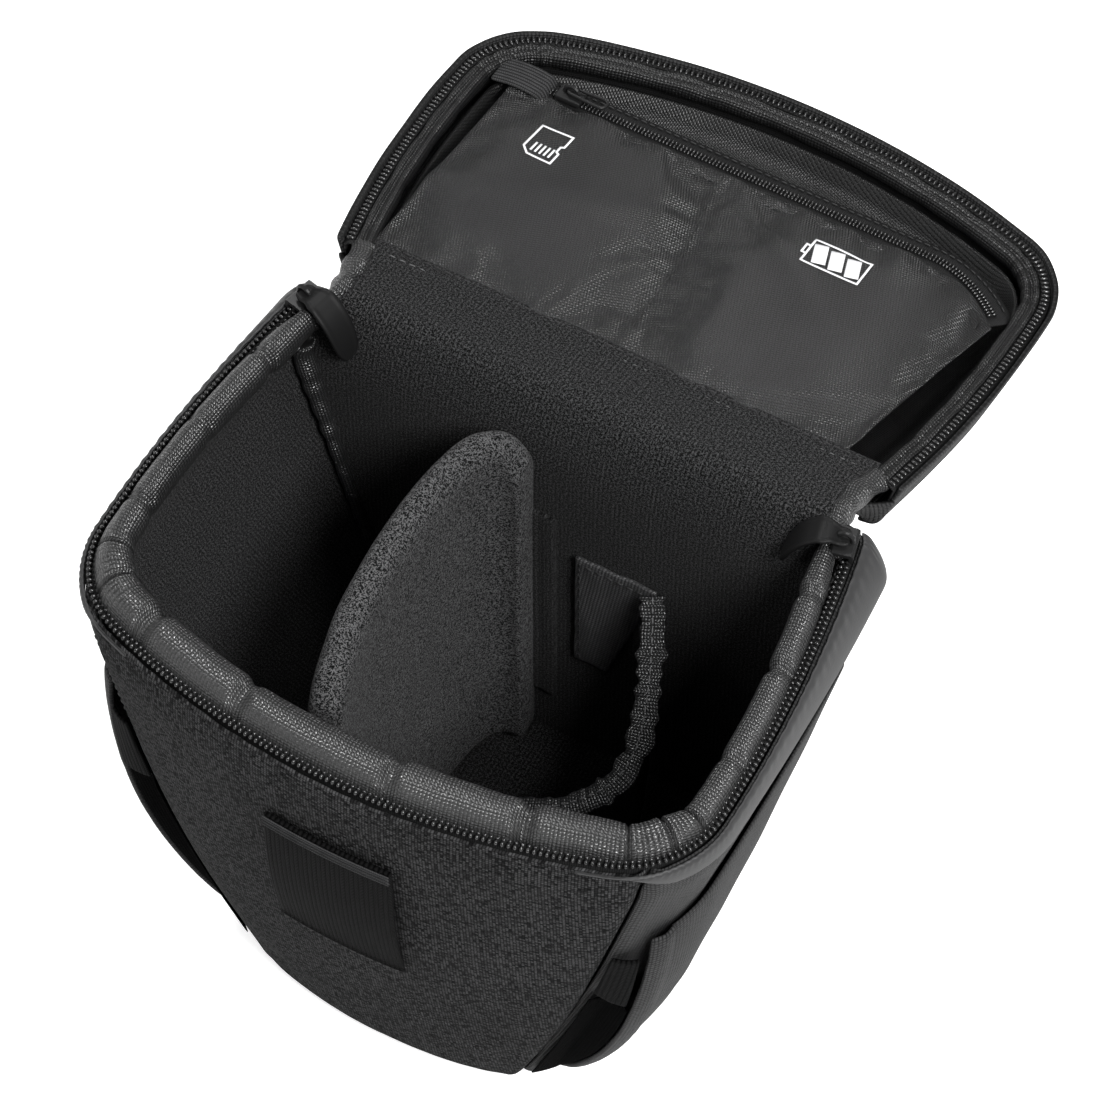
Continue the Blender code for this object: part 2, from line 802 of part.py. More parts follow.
def make_pockets():
    """The side pockets, whose mouths face forward, with a hem along each mouth and a webbing keeper."""
    levels = [step / POCKET_STEPS for step in range(POCKET_STEPS + 1)]
    spread = [share * (1 - HEM_SHARE) for share in levels]
    edge = [1 - HEM_SHARE + HEM_SEAM_SHARE, 1]
    for name, mirror in (("right", False), ("left", True)):
        sheet("side_pocket_" + name, pocket_rows(spread, levels, mirror), POCKET_FABRIC, "basket")
        sheet("pocket_hem_" + name, pocket_rows(edge, levels, mirror), POCKET_FABRIC, "nylon")
        sheet("pocket_keeper_" + name, keeper_rows(mirror), KEEPER, "webbing")


def pocket_rows(spread, levels, mirror):
    rows = []
    for up in levels:
        row = [pocket_point(across, up, POCKET_FABRIC, mirror) for across in spread]
        rows.append(list(reversed(row)) if mirror else row)
    return rows


def keeper_rows(mirror):
    """The keeper's rows: from the top of the pocket's mouth to the seam, where it lies on the wall."""
    rows = []
    for level in range(CLOTH_STEPS + 1):
        height = pocket_top(1) - blend(KEEPER_LOW_DROP, KEEPER_HIGH_DROP, level / CLOTH_STEPS)
        up = (height - POCKET_BOTTOM) / (pocket_top(1) - POCKET_BOTTOM)
        row = []
        for step in range(CLOTH_STEPS + 1):
            share = step / CLOTH_STEPS
            column = blend(POCKET_FRONT + KEEPER_GAP_SHARE, SEAM - SEAM_SHARE, share)
            stand = pocket_stand(1, up) * (1 - share) + LAYER_GAP + KEEPER
            row.append(wall(LAST - column if mirror else column, height, -stand))
        rows.append(list(reversed(row)) if mirror else row)
    return rows


def make_tub():
    make_shell()
    make_padding()
    make_lining()
    make_zip()
    make_bindings()
    make_trims()
    make_patch()
    make_pockets()



HINGE = world(0, 0, HEIGHT)


def lid_place(x, forward, rise):
    """A place in the lid's closed frame, from the hinge's middle."""
    return Vector((x, -forward, rise))


def lid_outline(rise):
    """The lid's outer plan at a height over the zip, with a round top edge."""
    over = max(rise - (LID_HEIGHT - LID_ROUND), 0)
    drawn = LID_ROUND - math.sqrt(max(LID_ROUND**2 - over**2, 0))
    points = both_halves(half_outline(*MOUTH))
    return [point - outward(points, column) * drawn for column, point in enumerate(points)]


def lid_wall(column, rise, inset=0.0):
    points = lid_outline(rise)
    flat = along(points, column) - outward(points, column) * inset
    return lid_place(flat.x, flat.y, rise)


LID_START = SIDE_START + 1
LID_ZIP_START_SHARE = 0.72
LID_ZIP_START = SIDE_START + LID_ZIP_START_SHARE
LID_INNER = SHELL + GAP + TAPE + GAP
LID_ROUND_SHARES = (0.0, 0.5, 0.87)


def lid_rings(inset, rise, dome, scales, start):
    """Closed rings over the lid's plan, from its edge to its middle."""
    edge = [lid_wall(column, rise, inset) for column in columns(start, LAST - start)]
    back = [edge[-1].lerp(edge[0], step / CURVE_STEPS) for step in range(1, CURVE_STEPS)]
    ring = edge + back
    middle = lid_place(0, (MOUTH_DEPTH - edge[0].y) / 2, rise)
    rings = []
    for scale in scales:
        lift = dome * (1 - scale**2)
        rings.append([middle.lerp(point, scale) + Vector((0, 0, lift)) for point in ring])
    return rings, middle + Vector((0, 0, dome))


def domed_sheet(name, rings, apex, thickness, material, parent, face_up=True):
    """A closed dish or dome through rings that shrink towards an apex."""
    work = bmesh.new()
    loops = [[work.verts.new(point) for point in ring] for ring in rings]
    top = work.verts.new(apex)
    count = len(loops[0])
    for outer, inner in zip(loops, loops[1:]):
        for i in range(count):
            j = (i + 1) % count
            work.faces.new((outer[i], inner[i], inner[j], outer[j]))
    for i in range(count):
        work.faces.new((loops[-1][i], top, loops[-1][(i + 1) % count]))
    if not face_up:
        bmesh.ops.reverse_faces(work, faces=work.faces)
    mesh = bpy.data.meshes.new(name)
    work.to_mesh(mesh)
    work.free()
    smooth(mesh)
    thing = link(name, mesh, material, parent)
    solidify(thing, thickness)
    return thing


DISH_SHARES = (1.0, 0.75, 0.4)
REAR_LOW_SHARE = 0.04
REAR_LOW_RISE_SHARE = 0.18
REAR_MIDDLE_RISE_SHARE = 0.62


def make_lid_shell(lid):
    """The lid's side band, its domed top and the sloped panel that joins it to the back of the bag."""
    rises = [SHELL_TOP, LID_HEIGHT / 2, LID_HEIGHT - LID_ROUND]
    rises += [LID_HEIGHT - LID_ROUND + LID_ROUND * share for share in LID_ROUND_SHARES[1:]]
    rows = [[lid_wall(column, rise) for column in columns(LID_START, LAST - LID_START)] for rise in rises]
    sheet("lid_band", rows, SHELL, "basket", lid)
    top = rises[-1] + SHELL / 2
    rings, apex = lid_rings(SHELL + GAP, top, LID_DOME, DISH_SHARES, LID_START)
    domed_sheet("lid_cover", rings, apex, SHELL, "melange", lid)
    edge = -rings[0][0].y - SHELL
    profile = [(SHELL / 2, SHELL / 2), (SHELL * 2, SHELL * 3), (edge / 2, top * REAR_MIDDLE_RISE_SHARE)]
    profile.append((edge, top - SHELL / 2))
    halves = [LID_HINGE_HALF, LID_HINGE_HALF, (LID_HINGE_HALF + LID_REAR_HALF) / 2, LID_REAR_HALF]
    rows = []
    for (forward, rise), half in zip(profile, halves):
        rows.append([lid_place(half * share, forward, rise) for share in ACROSS_SHARES])
    sheet("lid_rear_panel", rows, SHELL, "basket", lid)
    return top


def make_lid_inside(lid, top):
    """The lid's padding, its recessed lining and the velour flap at the hinge."""
    floor = top - SHELL - LAYER_GAP
    start = LID_START + LID_ZIP_START_SHARE
    rings, apex = lid_rings(LID_INNER + FOAM, floor, LID_DOME, DISH_SHARES, start)
    domed_sheet("lid_foam", rings, apex, LID_FOAM, "foam", lid)
    floor -= LID_FOAM + LAYER_GAP
    rings, apex = lid_rings(LID_INNER + FOAM, floor, LID_DOME, DISH_SHARES, start)
    domed_sheet("lid_lining", rings, apex, LINING, "nylon", lid)
    low = BINDING_DROP + BINDING_RADIUS + GAP
    rises = [low, (low + floor) / 2, floor - LINING - GAP]
    spread = columns(LID_START + BACK_HALF_SHARE, LAST - LID_START - BACK_HALF_SHARE)
    rows = [[lid_wall(column, rise, LID_INNER) for column in spread] for rise in rises]
    sheet("lid_side_lining", rows, LINING, "nylon", lid)
    rows = []
    for step in range(CLOTH_STEPS + 1):
        share = step / CLOTH_STEPS
        forward = blend(FLAP_START, SEAM_BACK - GAP, share)
        rise = blend(FLAP_LIFT, POCKET_LIFT, share**FLAP_POWER)
        rows.append([lid_place(LID_HINGE_HALF * side, forward, rise) for side in ACROSS_SHARES])
    sheet("lid_velour_flap", rows, LINING, "velour", lid, offset=1)


FLAP_POWER = 1.5


def zip_line(x):
    """How far forward the lid pocket's zip runs: straight across, then curving back at the right."""
    if x <= ZIP_BEND:
        return ZIP_ROW
    share = (x - ZIP_BEND) / (ZIP_RIGHT - ZIP_BEND)
    return blend(ZIP_ROW, ZIP_BEND_BACK, share**2)


def zip_slope(x):
    return (zip_line(x + GAP) - zip_line(x - GAP)) / (2 * GAP)


def zip_spread():
    straight = [blend(-ZIP_LEFT, ZIP_BEND, step / CURVE_STEPS) for step in range(CURVE_STEPS)]
    return straight + [blend(ZIP_BEND, ZIP_RIGHT, step / CURVE_STEPS) for step in range(CURVE_STEPS + 1)]


def inner_half(forward, rise, inset):
    """Half the lid's inner width at a distance forward of the hinge."""
    low = SIDE_START
    high = CORNER_START + CORNER_STEPS
    for _ in range(SEARCH_STEPS):
        middle = (low + high) / 2
        if -lid_wall(middle, rise, inset).y < forward:
            low = middle
        else:
            high = middle
    return lid_wall(low, rise, inset).x


POCKET_INSET = BINDING_INSET + BINDING_RADIUS + GAP


def make_lid_pocket(lid):
    """The zipped pocket on the lid's inside: its nylon panel, zip and end tab."""
    rows = []
    edge_half = inner_half(SEAM_BACK, POCKET_LIFT, POCKET_INSET)
    for level in range(POCKET_STEPS + 1):
        share = level / POCKET_STEPS
        row = []
        for step in range(SPREAD_STEPS + 1):
            side = 1 - 2 * step / SPREAD_STEPS
            near = min(POCKET_RIGHT, edge_half) if side > 0 else edge_half
            far = ZIP_RIGHT if side > 0 else ZIP_LEFT
            x = side * blend(near, far, share)
            end = zip_line(x) - (SMALL_TAPE / 2 + GAP) * math.hypot(1, zip_slope(x))
            forward = blend(SEAM_BACK + GAP, end, share)
            half = inner_half(forward, POCKET_LIFT, POCKET_INSET)
            x = max(-half, min(half, x))
            puff = POCKET_SWELL * math.sin(math.pi * share) * abs(math.sin(math.pi * side))
            row.append(lid_place(x, forward, POCKET_LIFT - puff))
        rows.append(row)
    sheet("lid_pocket_panel", [list(reversed(row)) for row in rows], PANEL, "nylon", lid, offset=1)
    make_small_zip(lid)


def ribbon(name, spread, width, lift, thickness, material, parent):
    """A strip along the lid pocket's zip, its face towards the bag's inside."""
    rows = []
    for side in (-1, 1):
        row = []
        for x in spread:
            run = Vector((1, zip_slope(x))).normalized()
            aside = Vector((-run.y, run.x)) * side * width / 2
            row.append(lid_place(x + aside.x, zip_line(x) + aside.y, lift))
        rows.append(row)
    return sheet(name, rows, thickness, material, parent, offset=1)


def end_tab_at():
    """How far left of the middle line the end tab sits: as far as the lid's bound edge leaves room."""
    return inner_half(ZIP_ROW + END_TAB_LENGTH / 2, POCKET_LIFT, POCKET_INSET) - END_TAB_WIDTH / 2


def pocket_slider_at():
    return end_tab_at() - END_TAB_WIDTH / 2 - POCKET_SLIDER_STAND - POCKET_SLIDER_LENGTH / 2


def make_small_zip(lid):
    ribbon("pocket_zip_tape", zip_spread(), SMALL_TAPE, POCKET_LIFT, TAPE, "tape", lid)
    start = END_TAB_WIDTH / 2 - end_tab_at() + GAP
    spread = [start] + [x for x in zip_spread()[:-1] if x > start + GAP]
    chain_lift = POCKET_LIFT - SMALL_CHAIN_THICK - GAP
    ribbon("pocket_zip_chain", spread, SMALL_CHAIN, chain_lift, SMALL_CHAIN_THICK, "coil", lid)


def make_lid_zip(lid):
    heights = [TAPE_TOP, TAPE_TOP + TAPE_WIDTH / 2, TAPE_TOP + TAPE_WIDTH]
    spread = columns(LID_START - LID_ZIP_START_SHARE / 4, LAST - LID_START + LID_ZIP_START_SHARE / 4)
    rows = [[lid_wall(column, rise, TAPE_INSET) for column in spread] for rise in heights]
    sheet("zip_tape_lid", rows, TAPE, "tape", lid)
    path = [lid_wall(column, COIL_DROP, COIL_INSET) for column in spread]
    tube("zip_coil_lid", path, COIL_RADIUS, "coil", lid, sides=1)
    path = [lid_wall(column, BINDING_DROP, BINDING_INSET) for column in columns(LID_START, LAST - LID_START)]
    tube("lid_binding", path, BINDING_RADIUS, "nylon", lid)


def make_lid():
    lid = axis_empty("lid_axis", HINGE, (-LID_OPEN_ANGLE, 0, 0))
    top = make_lid_shell(lid)
    make_lid_inside(lid, top)
    make_lid_pocket(lid)
    make_lid_zip(lid)
    return lid


def mouth_side_circle():
    """The circle that each side of the mouth follows, as its centre in plan and its radius."""
    return side_circle(*MOUTH[:5])


def make_slider(name, side):
    """A slider that straddles the tub's coil, with an arch on its crown for the pull. It turns about the centre of
    the arc that the mouth's side follows, so that it runs along the zip."""
    centre, radius = mouth_side_circle()
    track = axis_empty("track_" + name, world(side * centre.x, centre.y, HEIGHT))
    rise = SLIDER_PARK - centre.y
    run = math.sqrt(radius**2 - rise**2)
    turn = math.atan2(rise, run)
    seat = axis_empty("seat_" + name, (side * run, -rise, 0), (0, 0, -side * turn), track)
    inner = COIL_RADIUS + SLIDER_CLEARANCE
    half = inner + SLIDER_LIP
    middle = -COIL_INSET
    top = GAP + SLIDER_CROWN
    outline_points = [
        (middle - half, -SLIDER_LIP_DROP), (middle - inner, -SLIDER_LIP_DROP), (middle - inner, GAP),
        (middle + inner, GAP), (middle + inner, -SLIDER_LIP_DROP), (middle + half, -SLIDER_LIP_DROP),
        (middle + half, top - SLIDER_CROWN / 2), (middle + half - SLIDER_CROWN / 2, top),
        (middle - half + SLIDER_CROWN / 2, top), (middle - half, top - SLIDER_CROWN / 2),
    ]
    saddle = flat_plate("zip_slider_" + name, [(side * x, z) for x, z in outline_points], SLIDER_LENGTH, "metal", seat)
    saddle.rotation_euler = (math.pi / 2, 0, 0)
    saddle = as_mesh(saddle)
    axis_rise = top + PULL_AXIS_RISE
    arch = [(middle - ARCH_RADIUS, top - SLIDER_CROWN / 2)]
    for step in range(ARC_STEPS + 1):
        angle = math.pi * (1 - step / ARC_STEPS)
        arch.append((middle + ARCH_RADIUS * math.cos(angle), axis_rise + ARCH_RADIUS * math.sin(angle)))
    arch.append((middle + ARCH_RADIUS, top - SLIDER_CROWN / 2))
    loop = tube("slider_arch_" + name, [(side * x, 0, z) for x, z in arch], ARCH_WIRE, "metal", seat)
    boolean(saddle, as_mesh(loop), "UNION")
    pin = axis_empty("pull_axis_" + name, (side * middle, 0, axis_rise), (0, 0, 0), seat)
    make_pull(name, side, pin)


def make_pull(name, side, pin):
    """A flat pull that hangs from the slider's arch by its end bar, and curves down inside the bag."""
    eye = PULL_BAR + PULL_HOLE
    profile = [(-PULL_BAR, 0), (PULL_BAR, 0), (eye, 0), (PULL_FLAT, 0)]
    for step in range(1, CURVE_STEPS + 1):
        angle = PULL_TURN * step / CURVE_STEPS
        reach = (PULL_REACH - PULL_FLAT) * math.sin(angle) / math.sin(PULL_TURN)
        fall = PULL_FALL * (1 - math.cos(angle)) / (1 - math.cos(PULL_TURN))
        profile.append((PULL_FLAT + reach, -fall))
    widths = [PULL_EYE_WIDTH, PULL_EYE_WIDTH, PULL_EYE_WIDTH, PULL_WIDTH]
    widths += [PULL_WIDTH] * (CURVE_STEPS - 1) + [PULL_WIDTH * PULL_TIP_SHARE]
    rows = []
    for (reach, fall), width in zip(profile, widths):
        rows.append([Vector((-side * reach, side * y * width / 2, fall)) for y in (-1, 1)])
    strip = sheet("zip_pull_" + name, rows, PULL_THICK, "rubber", pin, offset=0)
    hole = box("pull_hole_" + name, (PULL_HOLE, PULL_HOLE_WIDTH, PULL_THICK + OVERRUN), (0, 0, 0), "rubber", pin)
    hole.location = (-side * (PULL_BAR + PULL_HOLE / 2), 0, 0)
    boolean(strip, hole, "DIFFERENCE")


def make_pocket_slider(lid):
    """The lid pocket's slider on its chain, with an eye for its pull."""
    lift = POCKET_LIFT - SMALL_CHAIN_THICK - 2 * GAP - POCKET_SLIDER_THICK
    size = (POCKET_SLIDER_LENGTH, POCKET_SLIDER_WIDTH, POCKET_SLIDER_THICK)
    place = lid_place(-pocket_slider_at(), ZIP_ROW, lift + POCKET_SLIDER_THICK / 2)
    body = box("pocket_slider", size, place, "metal", lid)
    bevel(body, POCKET_SLIDER_THICK / 4)
    points = [(-POCKET_EYE, 0, POCKET_SLIDER_THICK / 4)]
    for step in range(ARC_STEPS + 1):
        angle = math.pi * (1 - step / ARC_STEPS)
        points.append((POCKET_EYE * math.cos(angle), 0, -POCKET_EYE_WIRE - POCKET_EYE * math.sin(angle)))
    points.append((POCKET_EYE, 0, POCKET_SLIDER_THICK / 4))
    eye = tube("pocket_slider_eye", points, POCKET_EYE_WIRE, "metal", lid, sides=1)
    eye.location = place - Vector((0, 0, POCKET_SLIDER_THICK / 4))
    boolean(body, as_mesh(eye), "UNION")
    drop = POCKET_SLIDER_THICK / 2 + PULL_THICK
    pin = axis_empty("pocket_pull_axis", place - Vector((0, 0, drop)), (0, 0, 0), lid)
    rows = []
    reaches = (-PULL_BAR, PULL_BAR, PULL_BAR + PULL_HOLE, POCKET_PULL_LENGTH)
    for reach in reaches:
        rows.append([Vector((reach, y * POCKET_PULL_WIDTH / 2, 0)) for y in (-1, 1)])
    strip = sheet("pocket_pull", rows, POCKET_PULL_THICK, "metal", pin, offset=0)
    hole_size = (PULL_HOLE, POCKET_PULL_HOLE_WIDTH, POCKET_PULL_THICK + OVERRUN)
    hole = box("pocket_pull_hole", hole_size, (0, 0, 0), "metal", pin)
    hole.location = (PULL_BAR + PULL_HOLE / 2, 0, 0)
    boolean(strip, hole, "DIFFERENCE")


def make_end_tab(lid):
    """The webbing tab folded over the left end of the pocket's zip."""
    size = (END_TAB_WIDTH, END_TAB_LENGTH, END_TAB)
    lift = POCKET_LIFT - GAP - END_TAB / 2
    tab = box("zip_end_tab", size, lid_place(-end_tab_at(), ZIP_ROW, lift), "webbing", lid)
    bevel(tab, END_TAB / 4)


def make_handle(lid, top):
    """The carry handle: webbing sewn down at both ends and arched over the lid's top."""
    stations = []
    half = HANDLE_LENGTH / 2
    foot = HANDLE_FOOT / half
    for step in range(SPREAD_STEPS + 1):
        share = 2 * step / SPREAD_STEPS - 1
        rise = max(1 - abs(share) / (1 - foot), 0)
        stations.append((share * half, HANDLE_STAND * math.sin(math.pi / 2 * rise)**HANDLE_POWER))
    rows = []
    for side in (-1, 1):
        row = []
        for x, rise in stations:
            across = abs(x) / MOUTH_FRONT_HALF
            base = top + LID_DOME * (1 - across**2 * DOME_FALL_SHARE) + WEBBING + GAP
            row.append(lid_place(x, HANDLE_AT - side * HANDLE_WIDTH / 2, base + rise))
        rows.append(row)
    sheet("carry_handle", [list(reversed(row)) for row in rows], WEBBING, "webbing", lid)


HANDLE_POWER = 0.8
DOME_FALL_SHARE = 0.9
DIVIDER_PLAN_SHARES = (
    (0.16, 0.0), (0.27, 0.006), (0.36, 0.036), (0.43, 0.09), (0.48, 0.20), (0.505, 0.35), (0.50, 0.53), (0.465, 0.72),
    (0.385, 0.90), (0.33, 1.0),
)
DIVIDER_TOP_SHARES = (0.925, 0.985, 1.0, 1.0, 1.0, 1.0, 1.0, 1.0, 0.99, 0.95)
DIVIDER_SPREAD = 0.050
DIVIDER_BACK = BACK_LINING_FACE + GAP + FLANGE + GAP
DIVIDER_FLANGE_SHARES = (0.23, 0.03)
DIVIDER_FLANGE_LOW = 0.030
DIVIDER_FLANGE_TOP_DROP = 0.042


def end_lean(plan_shares, wide, deep):
    """How much of half its thickness a divider's slanted end reaches back towards the wall."""
    first = plan_shares[0]
    second = plan_shares[1]
    across = abs(second[0] - first[0]) * wide
    return across / math.hypot(across, (second[1] - first[1]) * deep)


def make_divider():
    """The padded divider: a velour pad that starts along the back wall and bows forward, and its grip flange."""
    body = axis_empty("divider_axis", world(0, 0, 0))
    origin = body.location
    high = HEIGHT - DIVIDER_TOP_DROP
    start = DIVIDER_BACK + DIVIDER / 2
    front = BASE_DEPTH - DIVIDER_FRONT_ROOM
    rows = []
    for level in range(CURVE_STEPS + 1):
        share = level / CURVE_STEPS
        row = []
        for (left, forward), top in zip(DIVIDER_PLAN_SHARES, DIVIDER_TOP_SHARES):
            height = blend(DIVIDER_FLOOR, blend(DIVIDER_FLOOR, high, top), share)
            depth = blend(start, front, forward)
            row.append(world(-DIVIDER_SPREAD * left, depth, height) - origin)
        rows.append(row)
    pad = sheet("padded_divider", rows, DIVIDER, "velour", body, offset=0)
    bevel(pad, DIVIDER_EDGE)
    rows = []
    for height in (DIVIDER_FLANGE_LOW, HEIGHT - DIVIDER_FLANGE_TOP_DROP):
        row = []
        for share in DIVIDER_FLANGE_SHARES:
            row.append(world(-DIVIDER_SPREAD * share, BACK_LINING_FACE + GAP, height) - origin)
        rows.append(row)
    sheet("divider_flange", rows, FLANGE, "velour", body)


SOFT_PLAN_SHARES = ((0.0, 0.0), (0.24, 0.16), (0.50, 0.38), (0.62, 0.58), (0.45, 0.76), (-0.15, 0.91), (-0.9, 1.0))
SOFT_TOP_SHARES = (1.0, 0.93, 0.83, 0.73, 0.66, 0.58, 0.54)
SOFT_FOOT_SHARE = 0.75
SOFT_START = 0.029
SOFT_WIDE = 0.020
SOFT_DEEP = 0.056
SOFT_TOP_DROP = 0.056
SOFT_FLANGE_LEFT = 0.0045
SOFT_FLANGE_FOOT = 0.0150
SOFT_FLANGE_TALL = 0.052


def make_soft_divider():
    """The right divider: a limp nylon panel with a bound top edge and a stitched flange on the back wall."""
    body = axis_empty("soft_divider_axis", world(0, 0, 0))
    origin = body.location
    back = DIVIDER_BACK + GAP + SOFT_EDGE_RADIUS * end_lean(SOFT_PLAN_SHARES, SOFT_WIDE, SOFT_DEEP)
    soft_top = HEIGHT - SOFT_TOP_DROP
    edge = []
    for (right, forward), top in zip(SOFT_PLAN_SHARES, SOFT_TOP_SHARES):
        x = SOFT_START + SOFT_WIDE * right
        edge.append(world(x, back + SOFT_DEEP * forward, blend(DIVIDER_FLOOR, soft_top, top)) - origin)
    rows = []
    for step in range(CLOTH_STEPS + 1):
        share = step / CLOTH_STEPS
        row = []
        for place, point in enumerate(edge):
            run = edge[min(place + 1, len(edge) - 1)] - edge[max(place - 1, 0)]
            lean = run.length / math.hypot(run.x, run.y)
            high = point.z - (SOFT_EDGE_RADIUS + 2 * GAP) * lean
            x = blend(edge[0].x, point.x, blend(SOFT_FOOT_SHARE, 1, share))
            row.append(Vector((x, point.y, blend(DIVIDER_FLOOR - origin.z, high, share))))
        rows.append(row)
    sheet("soft_divider", rows, SOFT_PANEL, "nylon", body, offset=0)
    tube("soft_divider_edge", edge, SOFT_EDGE_RADIUS, "nylon", body)
    rows = []
    for height, far in ((soft_top - SOFT_FLANGE_TALL, SOFT_FLANGE_FOOT), (soft_top, SOFT_START + SOFT_PANEL)):
        row = []
        for x in (SOFT_FLANGE_LEFT, far):
            row.append(world(x, BACK_LINING_FACE + GAP, height) - origin)
        rows.append(row)
    sheet("soft_divider_flange", rows, FLANGE, "nylon", body)


def make_belt_loop():
    """The belt loop on the back wall: wide webbing sewn at its top and bottom."""
    rows = []
    for step in range(SPREAD_STEPS + 1):
        share = step / SPREAD_STEPS
        off = min(max((min(share, 1 - share) - LOOP_FOOT_SHARE / 2) / LOOP_FOOT_SHARE, 0), 1)
        forward = -(GAP + WEBBING + BELT_LOOP_STAND * math.sin(math.pi / 2 * off))
        height = blend(BELT_LOOP_BOTTOM, HEIGHT - BELT_LOOP_TOP_DROP, share)
        rows.append([world(side * BELT_LOOP_WIDTH / 2, forward, height) for side in (-1, 1)])
    sheet("belt_loop", rows, WEBBING, "webbing")


LOOP_FOOT_SHARE = 0.16
TAB_NECK_SHARE = 1.2
RING_STRAIGHT_SHARE = 0.33
THREE_QUARTER_TURN = 1.5 * math.pi


def circle(radius, steps, start=0, turn=2 * math.pi):
    return [
        (radius * math.cos(start + turn * step / steps), radius * math.sin(start + turn * step / steps))
        for step in range(steps)
    ]


def make_strap_ring(name, side):
    """A webbing tab on the back wall, looped round the straight bar of a ring that swings on it."""
    bore = RING_WIRE + GAP
    reach = bore + WEBBING
    stand = GAP + reach
    height = HEIGHT - RING_DOWN
    pin = axis_empty("ring_axis_" + name, world(side * (back_half(height) - RING_IN), -stand, height))
    loop = circle(reach, 2 * ARC_STEPS + 1, -math.pi, THREE_QUARTER_TURN)
    flat = 2 * WEBBING - reach
    profile = [(-reach, RING_TAB_HEIGHT), *loop, (flat, reach * TAB_NECK_SHARE), (flat, RING_TAB_HEIGHT)]
    tab = flat_plate("ring_tab_" + name, profile, RING_TAB_WIDTH, "webbing", pin, [circle(bore, 2 * ARC_STEPS)])
    tab.rotation_euler = (math.pi / 2, 0, math.pi / 2)
    half = RING_WIDTH / 2
    straight = RING_DROP * RING_STRAIGHT_SHARE
    points = [(-half, 0), (half, 0), (half, -straight)]
    for step in range(1, ARC_STEPS):
        angle = math.pi * step / ARC_STEPS
        points.append((half * math.cos(angle), -straight - (RING_DROP - straight) * math.sin(angle)))
    points.append((-half, -straight))
    tube("strap_ring_" + name, [(x, 0, z) for x, z in points], RING_WIRE, "metal", pin, cyclic=True)


make_tub()
LID = make_lid()
LID_TOP = LID_HEIGHT - LID_ROUND + LID_ROUND * LID_ROUND_SHARES[-1] + SHELL / 2
for slider_name, slider_side in (("right", 1), ("left", -1)):
    make_slider(slider_name, slider_side)
make_pocket_slider(LID)
make_end_tab(LID)
make_handle(LID, LID_TOP)
make_divider()
make_soft_divider()
make_belt_loop()
for ring_name, ring_side in (("right", 1), ("left", -1)):
    make_strap_ring(ring_name, ring_side)
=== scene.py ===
import math

import bmesh
import bpy
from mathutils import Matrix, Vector, noise
from mathutils.bvhtree import BVHTree

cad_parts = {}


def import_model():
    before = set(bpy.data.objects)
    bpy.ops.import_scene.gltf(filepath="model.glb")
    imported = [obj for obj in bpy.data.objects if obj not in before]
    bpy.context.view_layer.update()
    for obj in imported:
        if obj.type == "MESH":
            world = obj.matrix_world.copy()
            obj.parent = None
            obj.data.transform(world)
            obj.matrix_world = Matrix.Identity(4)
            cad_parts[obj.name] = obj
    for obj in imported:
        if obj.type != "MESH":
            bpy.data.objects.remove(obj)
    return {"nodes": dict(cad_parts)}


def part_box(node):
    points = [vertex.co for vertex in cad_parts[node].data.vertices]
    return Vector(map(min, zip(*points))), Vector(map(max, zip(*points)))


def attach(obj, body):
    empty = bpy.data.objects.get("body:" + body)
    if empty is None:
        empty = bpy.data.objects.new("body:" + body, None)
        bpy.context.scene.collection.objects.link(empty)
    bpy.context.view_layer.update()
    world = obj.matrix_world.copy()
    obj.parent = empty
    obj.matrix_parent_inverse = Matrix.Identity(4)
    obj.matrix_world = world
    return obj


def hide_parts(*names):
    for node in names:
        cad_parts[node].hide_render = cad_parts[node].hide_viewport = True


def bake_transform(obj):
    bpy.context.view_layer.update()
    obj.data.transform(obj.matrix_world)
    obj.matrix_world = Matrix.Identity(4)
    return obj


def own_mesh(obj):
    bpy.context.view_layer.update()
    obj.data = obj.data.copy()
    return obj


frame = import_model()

# The bag's laws, as in the part's source: heights from the floor, depths forward from the back wall, in metres.
# An outline's sizes: half widths behind and in front, depth, bows of front and side, front and back corners.
HEIGHT = 0.166
MOUTH = (0.081, 0.091, 0.134, 0.020, 0.005, 0.028, 0.006)
SHOULDER = (0.0905, 0.0915, 0.135, 0.019, 0.002, 0.036, 0.006)
BASE = (0.0515, 0.0515, 0.119, 0.010, 0.001, 0.029, 0.006)
BASE_DEPTH = 0.119
SHOULDER_DROP = 0.016
SHOULDER_HEIGHT = HEIGHT - SHOULDER_DROP
SHOULDER_POWER = 1.5
WALL_BULGE = 0.0025
FRONT_BULGE = 0.0030
BOTTOM_ROUND = 0.008
SHELL = 0.0014
LINING_INSET = 0.0067
BACK_FACE = 0.0107
BACK_INSET = 0.0083
CURVE_DROP = 0.0384
COIL_INSET = 0.0021
COIL_DROP = 0.0015
TOOTH_PITCH = 0.00165
LID_ANGLE = math.radians(190)
LID_HEIGHT = 0.022
LID_ROUND = 0.007
LID_DOME = 0.003
LID_FLOOR = 0.0147
LID_DRAFT = 0.30
LID_LIP = 0.0032
LID_TOP = LID_HEIGHT - LID_ROUND + LID_ROUND * 0.87 + SHELL / 2
HINGE_HALF = 0.069
SEAM_BACK = 0.0230
POCKET_LIFT = 0.0042
ZIP_ROW = 0.1015
ZIP_BEND = 0.054
ZIP_BEND_BACK = 0.0880
ZIP_LEFT = 0.076
ZIP_RIGHT = 0.080
POCKET_RIGHT = 0.0660
GAP = 0.0003

